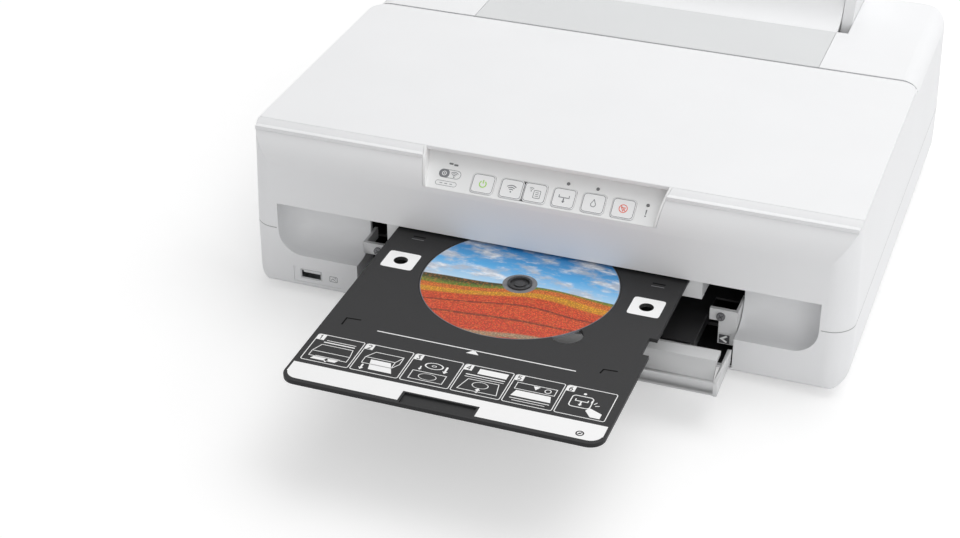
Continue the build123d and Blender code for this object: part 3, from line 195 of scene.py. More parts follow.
class Shader:
    """One material, or the world, under construction."""

    def __init__(self, name, kind="materials"):
        self.owner = getattr(bpy.data, kind).new(name)
        self.owner.use_nodes = True
        self.tree = self.owner.node_tree
        self.tree.nodes.clear()

    def node(self, kind, options=None, values=None, out=0):
        """A node of one kind: its options first, then its sockets' values or links."""
        made = self.tree.nodes.new(kind)
        for key, value in (options or {}).items():
            if key == "stops":
                ramp = made.color_ramp
                while len(ramp.elements) < len(value):
                    ramp.elements.new(0.5)
                for element, (position, colour) in zip(ramp.elements, value):
                    element.position = position
                    element.color = (*colour, 1.0)
            else:
                setattr(made, key, value)
        for key, value in (values or {}).items():
            if isinstance(value, Term):
                self.tree.links.new(value.socket, made.inputs[key])
            else:
                made.inputs[key].default_value = value
        return Term(self, made.outputs[out]) if made.outputs else made

    def place(self):
        """Place on the piece, in metres of the shared frame."""
        return self.node("ShaderNodeTexCoord", out="Object")

    def axes(self, place):
        """The three numbers of a place."""
        split = self.node("ShaderNodeSeparateXYZ", values={0: place})
        return split, split.other("Y"), split.other("Z")

    def vector(self, operation, *values, out=0):
        """A Vector Math node."""
        options = {"operation": operation}
        return self.node("ShaderNodeVectorMath", options, dict(enumerate(values)), out)

    def seen(self):
        """1 where the camera looks, also in a mirror or through glass."""
        ray = self.node("ShaderNodeLightPath", out="Is Camera Ray")
        return ray.most(ray.other("Is Glossy Ray")).most(ray.other("Is Transmission Ray"))

    def noise(self, place, scale, detail=2.0, rough=0.5):
        return self.node("ShaderNodeTexNoise", values={
            "Vector": place, "Scale": scale, "Detail": detail, "Roughness": rough})

    def blend(self, mask, first, second):
        """Colour that goes from first to second with the mask."""
        first, second = (c if isinstance(c, Term) else (*c, 1.0) for c in (first, second))
        return self.node(
            "ShaderNodeMix", {"data_type": "RGBA"}, {0: mask, 6: first, 7: second}, out=2)

    def bump(self, height, strength, distance, edge=0.0):
        """Normal with a relief, over edges softened by a small radius."""
        values = {"Strength": strength, "Distance": distance, "Height": height}
        if edge:
            values["Normal"] = self.node("ShaderNodeBevel", {"samples": 4}, {"Radius": edge})
        return self.node("ShaderNodeBump", values=values)

    def surface(self, **values):
        """Finish with one Principled surface. Underscores stand for spaces."""
        ready = {key.replace("_", " "): value for key, value in values.items()}
        for key, value in ready.items():
            if isinstance(value, tuple) and len(value) == 3:
                ready[key] = (*value, 1.0)
        body = self.node("ShaderNodeBsdfPrincipled", values=ready)
        self.node("ShaderNodeOutputMaterial", values={"Surface": body})
        return self.owner


def shade(colour, factor):
    """A colour made lighter or darker."""
    return tuple(min(1.0, channel * factor) for channel in colour)


# ---- Finishes ------------------------------------------------------------------------------
def moulded(name, colour, rough, grain, depth, drift=0.035, edge=0.35, shine=0.5, seam=0.0):
    """Injection moulded plastic: fine eroded grain, faint drift of shade, softened edges.

    grain and edge are in millimetres. seam is the height in metres of the joint line that runs
    round the sides and the back, drawn in the finish.
    """
    shader = Shader(name)
    place = shader.place()
    slow = shader.noise(place, 16.0, 3.0)
    fine = shader.noise(place, 1.0 / (grain * MM), 2.0, 0.6)
    specks = shader.noise(place, 900.0, 1.0).smooth(0.72, 0.78)
    tone = shader.blend(slow, shade(colour, 1 - drift), shade(colour, 1 + drift * 0.4))
    tone = shader.blend(specks * 0.10, tone, shade(colour, 0.75))
    dullness = rough + (fine - 0.5) * 0.16 + (slow - 0.5) * 0.05
    if seam:
        x, y, z = shader.axes(place)
        outside = x.above(SEAM_SIDE).most(x.below(-SEAM_SIDE)).most(y.above(SEAM_REAR))
        line = z.above(seam - SEAM_HALF) * z.below(seam + SEAM_HALF) * outside
        tone = shader.blend(line, tone, shade(colour, 0.42))
        fine = fine - line * 4.0
    return shader.surface(
        Base_Color=tone,
        Roughness=dullness,
        IOR=1.48,
        Specular_IOR_Level=shine,
        Normal=shader.bump(fine, depth, 0.00012, edge * MM),
    )


def gloss_moulded(name, colour, rough):
    """Polished plastic with faint waviness and hairline handling marks."""
    shader = Shader(name)
    place = shader.place()
    slow = shader.noise(place, 90.0, 2.0)
    hairs = shader.noise(shader.vector("MULTIPLY", place, (2600.0, 120.0, 900.0)), 1.0, 1.0)
    tone = shader.blend(slow, shade(colour, 0.97), shade(colour, 1.02))
    return shader.surface(
        Base_Color=tone,
        Roughness=rough + hairs.smooth(0.6, 0.75) * 0.12,
        Coat_Weight=0.25,
        Normal=shader.bump(slow, 0.05, 0.0002, 0.25 * MM),
    )


def printed(name, colour, rough, shine=0.5):
    """Screen-printed ink: slightly uneven cover and a fine tooth."""
    shader = Shader(name)
    place = shader.place()
    cover = shader.noise(place, 2600.0, 2.0)
    slow = shader.noise(place, 60.0, 2.0)
    tone = shader.blend(cover, shade(colour, 0.94), shade(colour, 1.03))
    return shader.surface(
        Base_Color=shader.blend(slow * 0.3, tone, shade(colour, 0.95)),
        Roughness=rough + (cover - 0.5) * 0.2,
        Specular_IOR_Level=shine,
        Normal=shader.bump(cover, 0.15, 0.00004),
    )


def rolled_steel(name, colour, rough=0.34, stretch=(30.0, 900.0, 900.0)):
    """Bare metal drawn or rolled along one axis, with long fine lines and dull patches."""
    shader = Shader(name)
    place = shader.place()
    lines = shader.noise(shader.vector("MULTIPLY", place, stretch), 3.0, 3.0, 0.7)
    patches = shader.noise(place, 35.0, 3.0)
    tone = shader.blend(lines, shade(colour, 0.86), shade(colour, 1.06))
    tone = shader.blend(patches * 0.35, tone, shade(colour, 0.78))
    return shader.surface(
        Base_Color=tone,
        Metallic=1.0,
        Roughness=rough + (patches - 0.5) * 0.18,
        Normal=shader.bump(lines, 0.12, 0.00008, 0.2 * MM),
    )


def ribbed_rubber(name, colour, pitch=0.0, rough=0.72):
    """Matt rubber with dust in its pores, and ribs across it where a pitch is given."""
    shader = Shader(name)
    place = shader.place()
    pores = shader.noise(place, 2200.0, 2.0)
    dust = shader.noise(place, 120.0, 4.0).smooth(0.5, 0.8)
    height = pores
    if pitch:
        x = shader.axes(place)[0]
        height = pores * 0.3 + (x * (2 * pi / pitch)).wave()
    tone = shader.blend(dust * 0.22, colour, (0.24, 0.235, 0.22))
    return shader.surface(
        Base_Color=tone,
        Roughness=rough + (pores - 0.5) * 0.2,
        Normal=shader.bump(height, 0.4, 0.00015, 0.3 * MM),
    )


def circuit(name, colour):
    """Lacquered circuit board: tracks, pads and the weave below the lacquer."""
    shader = Shader(name)
    place = shader.place()
    x, y = shader.axes(place)[:2]
    cells = shader.node("ShaderNodeTexVoronoi", {"distance": "MANHATTAN"},
                        {"Vector": place, "Scale": 210.0, "Randomness": 0.75})
    tracks = (cells * 9.0).part().smooth(0.42, 0.5)
    spots = shader.node("ShaderNodeTexVoronoi", values={"Vector": place, "Scale": 330.0})
    pads = spots.below(0.16)
    weave = (x * 6000.0).wave() * (y * 6000.0).wave()
    tone = shader.blend(tracks, shade(colour, 0.7), shade(colour, 1.5))
    tone = shader.blend(pads, tone, (0.62, 0.52, 0.30))
    return shader.surface(
        Base_Color=tone,
        Metallic=pads * 0.8,
        Roughness=0.34 + weave * 0.04,
        Normal=shader.bump(tracks + weave * 0.1, 0.25, 0.00006),
    )


def clear_lens(name, colour):
    """Light pipe of an indicator: smoky, with a brighter core."""
    shader = Shader(name)
    place = shader.place()
    grain = shader.noise(place, 1500.0, 2.0)
    return shader.surface(
        Base_Color=shader.blend(grain, shade(colour, 0.7), shade(colour, 1.25)),
        Roughness=0.14 + grain * 0.08,
        Coat_Weight=0.6,
        Normal=shader.bump(grain, 0.06, 0.00005, 0.15 * MM),
    )


def encoder(name):
    """Clear strip with the fine dark lines that the carriage counts."""
    shader = Shader(name)
    place = shader.place()
    pitch = 0.00034
    x = shader.axes(place)[0]
    lines = (x * (2 * pi / pitch)).wave().smooth(-0.1, 0.1)
    dust = shader.noise(place, 300.0, 3.0)
    return shader.surface(
        Base_Color=shader.blend(lines, (0.55, 0.57, 0.6), (0.10, 0.10, 0.11)),
        Roughness=0.18 + dust * 0.2,
        Normal=shader.bump(dust, 0.05, 0.00005),
    )


def disc_picture(name, inner):
    """Printed disc: clouds over low rolling flower fields, round a bare inner ring."""
    shader = Shader(name)
    place = shader.place()
    middle = (disc_low + disc_high) / 2
    radius = (disc_high.x - disc_low.x) / 2
    local = shader.vector("SUBTRACT", place, middle)
    x, y = shader.axes(local)[:2]
    across, up = x / radius, y / radius
    flat = shader.vector("MULTIPLY", local, (1.0, 1.0, 0.0))
    reach = shader.vector("LENGTH", flat, out="Value")
    skyline = -0.06 + (across * 2.3 + 0.6).wave() * 0.055 + (across * 6.1).wave() * 0.012
    away = skyline - up
    # Sky: deep at the far edge, pale above the fields, with drawn-out clouds
    stretched = shader.vector("MULTIPLY", local, (26.0, 58.0, 1.0))
    cloud = shader.noise(stretched, 1.6, 8.0, 0.62)
    cover = cloud.smooth(0.44, 0.62)
    low_light = shader.noise(stretched, 2.6, 5.0, 0.6)
    sky = shader.node("ShaderNodeValToRGB", {"stops": (
        (0.0, (0.46, 0.68, 0.86)), (0.35, (0.10, 0.42, 0.80)), (1.0, (0.005, 0.17, 0.52)),
    )}, {0: up * 1.1 + 0.1})
    puffs = shader.blend(low_light.smooth(0.42, 0.68), (0.46, 0.52, 0.62), (0.92, 0.93, 0.95))
    sky = shader.blend(cover * (1.0 - up.smooth(0.55, 1.0) * 0.7), sky, puffs)
    # Fields: bands that widen towards the near edge, each strewn with blossoms
    bend = away + (across * 3.4 + away * 5.0).wave() * 0.035 + across * 0.05
    bands = shader.node("ShaderNodeValToRGB", {"stops": (
        (0.0, (0.020, 0.060, 0.012)), (0.035, (0.10, 0.24, 0.03)), (0.075, (0.16, 0.32, 0.03)),
        (0.095, (0.80, 0.20, 0.03)), (0.15, (0.86, 0.22, 0.03)), (0.175, (0.90, 0.46, 0.02)),
        (0.235, (0.86, 0.38, 0.02)), (0.26, (0.80, 0.09, 0.02)), (0.385, (0.82, 0.07, 0.02)),
        (0.40, (0.10, 0.015, 0.01)), (0.425, (0.84, 0.09, 0.02)), (0.60, (0.86, 0.07, 0.02)),
        (0.625, (0.14, 0.03, 0.01)), (0.65, (0.84, 0.08, 0.02)), (0.84, (0.80, 0.06, 0.02)),
        (0.87, (0.50, 0.38, 0.24)), (0.93, (0.44, 0.34, 0.22)), (0.95, (0.58, 0.02, 0.03)),
    )}, {0: bend})
    blossoms = shader.node("ShaderNodeTexVoronoi", values={
        "Vector": local, "Scale": 900.0, "Randomness": 1.0})
    tuft = blossoms.smooth(0.12, 0.62)
    leaves = shader.noise(local, 700.0, 3.0).smooth(0.50, 0.62)
    field = shader.blend(tuft * 0.55, bands, (0.09, 0.020, 0.006))
    field = shader.blend(leaves * 0.22, field, (0.92, 0.26, 0.05))
    picture = shader.blend(away.smooth(-0.006, 0.006), sky, field)
    # Bare ring round the hub and the hard rim
    bare = reach.below(inner)
    ring = shader.noise(local, 400.0, 2.0)
    tone = shader.blend(bare, picture, shader.blend(ring, (0.13, 0.13, 0.14), (0.24, 0.24, 0.25)))
    rim = reach.above(radius - 0.5 * MM)
    tone = shader.blend(rim, tone, (0.16, 0.17, 0.19))
    return shader.surface(
        Base_Color=tone,
        Roughness=0.30 + bare * 0.08 + (ring - 0.5) * 0.06,
        Specular_IOR_Level=0.28,
        Normal=shader.bump(ring, 0.04, 0.00005),
    )


INK_TINTS = (
    (0.02, 0.02, 0.02), (0.0, 0.30, 0.62), (0.70, 0.02, 0.22),
    (0.90, 0.66, 0.02), (0.28, 0.58, 0.78), (0.82, 0.36, 0.50),
)


def finish_book():
    """The maker of each finish, by the record's slot or by a look of its own."""
    colours, sizes, _ = settings()
    book = {
        "case_white": lambda: moulded("satin case plastic", colours.case, 0.44, 0.26, 0.20),
        "light_grey": lambda: moulded("satin pale plastic", colours.pale, 0.40, 0.24, 0.16),
        "button_white": lambda: moulded(
            "button plastic", colours.button, 0.30, 0.18, 0.08, edge=0.2),
        "lens": lambda: clear_lens("smoky lens", (0.16, 0.165, 0.17)),
        "circuit_board": lambda: circuit("green lacquered board", (0.02, 0.13, 0.05)),
        "tray_black": lambda: moulded(
            "tray black plastic", colours.tray, 0.50, 0.30, 0.25, 0.08, 0.3, 0.20),
        "disc_print": lambda: disc_picture("printed disc face", sizes.print_radius),
        "hub_grey": lambda: moulded("hub plastic", colours.hub, 0.38, 0.2, 0.15, shine=0.4),
        "stacker_grey": lambda: moulded("stacker plastic", colours.stacker, 0.40, 0.24, 0.18),
        "frame_black": lambda: moulded(
            "frame black plastic", colours.frame, 0.52, 0.35, 0.25, 0.15),
        "steel": lambda: rolled_steel("zinc plated sheet", (0.56, 0.57, 0.58)),
        "chrome_rod": lambda: rolled_steel(
            "ground rod", (0.74, 0.75, 0.77), 0.12, (900.0, 30.0, 30.0)),
        "rubber": lambda: ribbed_rubber("roller rubber", (0.022, 0.022, 0.024), 0.0012),
        "foot_rubber": lambda: ribbed_rubber("foot rubber", (0.10, 0.10, 0.105)),
        "gear_white": lambda: moulded("acetal gear plastic", (0.78, 0.77, 0.73), 0.34, 0.2, 0.1),
        "brass": lambda: rolled_steel("turned brass", (0.80, 0.58, 0.24), 0.26),
        "cartridge": lambda: gloss_moulded("cartridge plastic", (0.035, 0.036, 0.042), 0.3),
        "clear_film": lambda: encoder("encoder film"),
        # Looks of nodes and pieces that differ from their record's slot, or have none
        "seamed_case": lambda: moulded(
            "seamed case plastic", colours.case, 0.44, 0.26, 0.20, seam=SEAM_HEIGHT),
        "panel_plastic": lambda: moulded("satin panel plastic", colours.panel, 0.40, 0.24, 0.16),
        "dark_zinc": lambda: rolled_steel("dark zinc", (0.22, 0.22, 0.23), 0.4),
        "panel_ink_grey": lambda: printed("grey panel ink", colours.mark, 0.45),
        "panel_ink_green": lambda: printed("green panel ink", colours.power, 0.45),
        "panel_ink_red": lambda: printed("red panel ink", colours.cancel, 0.45),
        "panel_ink_white": lambda: printed("white panel ink", colours.button, 0.45),
        "tray_ink_white": lambda: printed("white tray ink", colours.paint, 0.5),
        "tray_ink_black": lambda: printed("black tray ink", colours.tray, 0.5),
        # Painted highlight on the near edges of the tray's slots.
        "tray_painted_highlight": lambda: printed("painted slot highlight", (0.17, 0.17, 0.175), 0.5),
        # Dark print for marks, and painted shade along the far edges of the tray's slots.
        "tray_ink_dark_and_shade": lambda: printed("dark tray ink and painted shade", (0.004, 0.004, 0.004), 0.8, 0.05),
        # Dark ink of the bracket tile, and painted shade in the screw recesses and rims.
        "bracket_ink_and_shade": lambda: printed("dark bracket ink and painted shade", (0.05, 0.05, 0.055), 0.5),
        "paper_label": lambda: printed("paper label", (0.78, 0.77, 0.72), 0.6),
    }
    for number, tint in enumerate(INK_TINTS, 1):
        book[f"label_ink_{number}"] = partial(printed, f"label ink {number}", tint, 0.4)
    return book


made_finishes = {}


def finish(look):
    """The finish of a slot or a look, made once."""
    if look not in made_finishes:
        made_finishes[look] = finish_book()[look]()
    return made_finishes[look]


NODE_SLOTS = {part["node"]: part["material_slot"] for part in frame["record"]["subparts"]}


def dress(*nodes, look=None):
    """Give each CAD node the finish of its slot, or another look."""
    for name in nodes:
        data = frame["nodes"][name].data
        data.materials.clear()
        data.materials.append(finish(look or NODE_SLOTS[name]))


# ---- Mesh writing --------------------------------------------------------------------------
def make_piece(name, mesh, look, body, smooth=False):
    """Turn a bmesh in metres into one piece that rides on a body.

    The piece takes the finish of its look.
    """
    bmesh.ops.recalc_face_normals(mesh, faces=mesh.faces)
    data = bpy.data.meshes.new(name)
    mesh.to_mesh(data)
    mesh.free()
    data.materials.append(finish(look))
    piece = bpy.data.objects.new(name, data)
    bpy.context.scene.collection.objects.link(piece)
    if smooth:
        data.shade_smooth()
        data.set_sharp_from_angle(angle=SHARP_ANGLE)
    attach(piece, body)
    return piece


def trimmed(node, body, place, way, rear=None):
    """Stand-in for a node, cut at a plane and closed there, with the side that way points to kept.

    place is in millimetres. Faces behind rear, in metres, take the black frame finish as painted
    shade.
    """
    mesh = bmesh.new()
    mesh.from_mesh(frame["nodes"][node].data)
    weld = 0.001 * MM
    bmesh.ops.remove_doubles(mesh, verts=mesh.verts, dist=weld)
    everything = mesh.verts[:] + mesh.edges[:] + mesh.faces[:]
    cut = bmesh.ops.bisect_plane(
        mesh, geom=everything, dist=weld, plane_co=Vector(place) * MM, plane_no=Vector(way),
        clear_inner=True)
    edges = [item for item in cut["geom_cut"] if isinstance(item, bmesh.types.BMEdge)]
    bmesh.ops.triangle_fill(mesh, edges=edges, use_beauty=True)
    # Painted shade: faces behind rear take the black frame finish.
    if rear is not None:
        for face in mesh.faces:
            face.material_index = int(face.calc_center_median().y > rear)
    piece = make_piece(f"{node}_shape", mesh, NODE_SLOTS[node], body, smooth=True)
    if rear is not None:
        piece.data.materials.append(finish("frame_black"))
    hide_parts(node)
    return piece


def bridge(mesh, first, second, closed=True):
    """Faces between two rows of vertices."""
    count = len(first)
    for k in range(count if closed else count - 1):
        n = (k + 1) % count
        mesh.faces.new((first[k], first[n], second[n], second[k]))


def chamfered_block(mesh, low, high, chamfer):
    """Add a block between two corners in millimetres, every edge chamfered."""
    low, high = Vector(low) * MM, Vector(high) * MM
    size = high - low
    move = Matrix.Translation((low + high) / 2)
    made = bmesh.ops.create_cube(mesh, size=1.0, matrix=move @ Matrix.Diagonal((*size, 1.0)))
    edges = list({edge for vert in made["verts"] for edge in vert.link_edges})
    bmesh.ops.bevel(mesh, geom=edges, offset=chamfer * MM, segments=2, affect="EDGES", profile=0.6)


def turned(mesh, profile, middle, steps):
    """Add a closed turned solid: profile is (radius, height) in millimetres round a loop."""
    rings = []
    for step in range(steps):
        angle = 2 * pi * step / steps
        spots = [Vector((r * cos(angle), r * sin(angle), z)) for r, z in profile]
        rings.append([mesh.verts.new((Vector(middle) + spot) * MM) for spot in spots])
    for k, ring in enumerate(rings):
        bridge(mesh, rings[k - 1], ring)


def polar(middle, radius, angle, squash=1.0):
    """The place at an angle in degrees on a circle, or on one pressed flat."""
    turn = radians(angle)
    return middle[0] + radius * cos(turn), middle[1] + radius * squash * sin(turn)


def rounded(middle, width, height, corner, steps=5):
    """Outline of a rounded rectangle."""
    spots = []
    for side, level, start in ((1, 1, 0), (-1, 1, 90), (-1, -1, 180), (1, -1, 270)):
        bend = (middle[0] + side * (width / 2 - corner), middle[1] + level * (height / 2 - corner))
        spots += [polar(bend, corner, start + 90 * k / steps) for k in range(steps + 1)]
    return spots


class Ink:
    """Printed marks on a flat place: closed shapes in millimetres with a little height.

    The origin is in metres. Marks run along X and along up.
    """

    def __init__(self, origin, up=(0, 1, 0), lift=PRINT_LIFT, height=PRINT_HEIGHT):
        self.mesh = bmesh.new()
        self.origin, self.across, self.up = Vector(origin), Vector((1, 0, 0)), Vector(up)
        self.out = self.across.cross(self.up).normalized()
        self.lift, self.height = lift, height
        self.shift = (0.0, 0.0)

    def row(self, spots, level):
        """A vertex at each spot, at one level over the surface."""
        places = [self.across * (spot[0] + self.shift[0]) + self.up * (spot[1] + self.shift[1])
                  for spot in spots]
        return [self.mesh.verts.new(self.origin + (place + self.out * level) * MM)
                for place in places]

    def rows(self, spots):
        """The row at the foot of a mark and the one at its top."""
        return self.row(spots, self.lift), self.row(spots, self.lift + self.height)

    def area(self, outline):
        """Filled shape inside an outline."""
        low, high = self.rows(outline)
        self.mesh.faces.new(low)
        self.mesh.faces.new(high)
        bridge(self.mesh, low, high)

    def strip(self, left, right, closed):
        """Band between two rows of spots."""
        low_left, high_left = self.rows(left)
        low_right, high_right = self.rows(right)
        for pair in ((low_left, low_right), (high_left, high_right),
                     (low_left, high_left), (low_right, high_right)):
            bridge(self.mesh, *pair, closed)
        if not closed:
            for k in (0, -1):
                self.mesh.faces.new((low_left[k], low_right[k], high_right[k], high_left[k]))

    def line(self, points, width, closed=False):
        """Line of one width with mitred turns."""
        spots = [Vector(p) for p in points]
        count = len(spots)
        left, right = [], []
        for k, spot in enumerate(spots):
            ways = []
            if closed or k:
                ways.append((spot - spots[k - 1]).normalized())
            if closed or k < count - 1:
                ways.append((spots[(k + 1) % count] - spot).normalized())
            way = sum(ways, Vector((0, 0))).normalized()
            side = Vector((-way.y, way.x))
            lean = max(MITRE_LIMIT, abs(side.dot(Vector((-ways[0].y, ways[0].x)))))
            left.append(spot + side * (width / 2 / lean))
            right.append(spot - side * (width / 2 / lean))
        self.strip(left, right, closed)

    def loop(self, points, width):
        """Closed line of one width."""
        self.line(points, width, closed=True)

    def arc(self, middle, radius, width, start=0.0, sweep=360.0, steps=28, squash=1.0):
        """Ring, or part of one, with its angles in degrees."""
        closed = abs(sweep) >= 360.0
        angles = [start + sweep * k / steps for k in range(steps if closed else steps + 1)]
        inner, outer = ([polar(middle, r, angle, squash) for angle in angles]
                        for r in (radius - width / 2, radius + width / 2))
        self.strip(inner, outer, closed)

    def dot(self, middle, radius, steps=24):
        """Filled circle."""
        self.area([polar(middle, radius, 360 * k / steps) for k in range(steps)])

    def arrow(self, start, end, width):
        """Filled arrow from start to end, its shaft of one width."""
        start, end = Vector(start), Vector(end)
        way = (end - start).normalized()
        side = Vector((-way.y, way.x)) * width
        neck = end - way * width * 1.7
        shaft, barb = side / 2, side * 1.35
        self.area([start + shaft, start - shaft, neck - shaft,
                   neck - barb, end, neck + barb, neck + shaft])

    def piece(self, name, look, body):
        """Turn the marks into one piece."""
        return make_piece(name, self.mesh, look, body)


# One stroke for each figure, in a box of 1 by 1
DIGITS = {
    1: [(0.2, 0.8), (0.5, 1.0), (0.5, 0.0)],
    2: [(0.05, 0.8), (0.3, 1.0), (0.7, 1.0), (0.95, 0.75), (0.9, 0.55), (0.05, 0.0), (0.98, 0.0)],
    3: [(0.05, 0.95), (0.9, 1.0), (0.45, 0.6), (0.9, 0.4), (0.8, 0.05), (0.4, 0.0), (0.05, 0.15)],
    4: [(0.75, 0.0), (0.75, 1.0), (0.02, 0.3), (1.0, 0.3)],
    5: [(0.9, 1.0), (0.15, 1.0), (0.1, 0.55), (0.6, 0.6), (0.95, 0.35), (0.7, 0.0), (0.05, 0.08)],
    6: [(0.8, 1.0), (0.3, 0.75), (0.05, 0.3), (0.3, 0.0), (0.75, 0.02), (0.95, 0.3), (0.7, 0.55),
        (0.15, 0.42)],
}


# ---- Operators -----------------------------------------------------------------------------
class PrinterOperator:
    """What all the build operators share."""
    bl_options = {"REGISTER", "UNDO"}

    def execute(self, context):
        self.make()
        return {"FINISHED"}


class PRINTER_OT_stage(PrinterOperator, bpy.types.Operator):
    """Pale floor, soft lamps and the camera"""
    bl_idname = "printer.stage"
    bl_label = "Stage"

    def make(self):
        scene, stage = bpy.context.scene, settings()[2]
        self.floor(scene)
        self.lamps(scene, stage)
        self.world(scene, stage)
        self.camera(scene, stage)
        scene.view_settings.view_transform = "Standard"

    def floor(self, scene):
        """Pale floor that the camera sees as white and that keeps the shadow."""
        mesh = bmesh.new()
        bmesh.ops.create_grid(mesh, x_segments=2, y_segments=2, size=FLOOR_REACH)
        data = bpy.data.meshes.new("floor")
        mesh.to_mesh(data)
        mesh.free()
        floor = bpy.data.objects.new("floor", data)
        scene.collection.objects.link(floor)
        floor.location.z = -FLOOR_DROP
        shader = Shader("pale studio floor")
        seen = shader.seen()
        grain = shader.noise(shader.place(), 60.0, 3.0)
        tone = shader.blend(grain, (0.86, 0.86, 0.865), (0.88, 0.88, 0.885))
        paper = shader.node("ShaderNodeBsdfDiffuse", values={
            "Color": shader.blend(seen, tone, (0.76, 0.76, 0.76)), "Roughness": 0.6})
        glow = shader.node("ShaderNodeEmission", values={
            "Color": (1.0, 1.0, 1.0, 1.0), "Strength": seen * FLOOR_GLOW})
        both = shader.node("ShaderNodeAddShader", values={0: paper, 1: glow})
        shader.node("ShaderNodeOutputMaterial", values={"Surface": both})
        data.materials.append(shader.owner)

    def lamps(self, scene, stage):
        """Three soft rectangles: name, power, place and size."""
        target = Vector(LAMP_TARGET)
        for name, power, place, size in (
            ("key lamp", stage.key, (0.45, 0.72, 1.80), (2.2, 1.6)),
            ("front lamp", stage.fill, (0.9, -1.9, 0.9), (1.6, 1.2)),
            ("side lamp", stage.side, (2.0, -0.4, 0.9), (1.2, 1.2)),
        ):
            light = bpy.data.lights.new(name, "AREA")
            light.shape = "RECTANGLE"
            light.size, light.size_y = size
            light.energy = power
            lamp = bpy.data.objects.new(name, light)
            lamp.location = place
            lamp.rotation_euler = (target - Vector(place)).to_track_quat("-Z", "Y").to_euler()
            scene.collection.objects.link(lamp)

    def world(self, scene, stage):
        """White room to the camera, and an even dimmer light to the object."""
        shader = Shader("white room", "worlds")
        room = shader.node("ShaderNodeBackground", values={
            "Color": (1.0, 1.0, 1.0, 1.0),
            "Strength": shader.seen() * (1.0 - stage.world) + stage.world})
        shader.node("ShaderNodeOutputWorld", values={"Surface": room})
        scene.world = shader.owner

    def camera(self, scene, stage):
        """Camera at the photograph's viewing angle."""
        data = bpy.data.cameras.new("camera")
        data.lens = stage.lens
        data.sensor_width = SENSOR_WIDTH
        data.shift_x, data.shift_y = CAMERA_SHIFT
        data.clip_start, data.clip_end = CAMERA_RANGE
        camera = bpy.data.objects.new("camera", data)
        yaw, pitch, roll = radians(CAMERA_YAW), radians(CAMERA_PITCH), radians(CAMERA_ROLL)
        ahead = Vector((-sin(yaw) * cos(pitch), cos(yaw) * cos(pitch), -sin(pitch)))
        camera.location = CAMERA_PLACE
        camera.rotation_euler = (ahead.to_track_quat("-Z", "Y").to_matrix()
                                 @ Matrix.Rotation(roll, 3, "Z")).to_euler()
        scene.collection.objects.link(camera)
        scene.camera = camera


class PRINTER_OT_case(PrinterOperator, bpy.types.Operator):
    """White case, lid, rear housing, feet and screws"""
    bl_idname = "printer.case"
    bl_label = "Case"

    def make(self):
        dress("top_cover", "rear_housing", "feet", "case_screws")
        dress("lower_case", "upper_case", look="seamed_case")


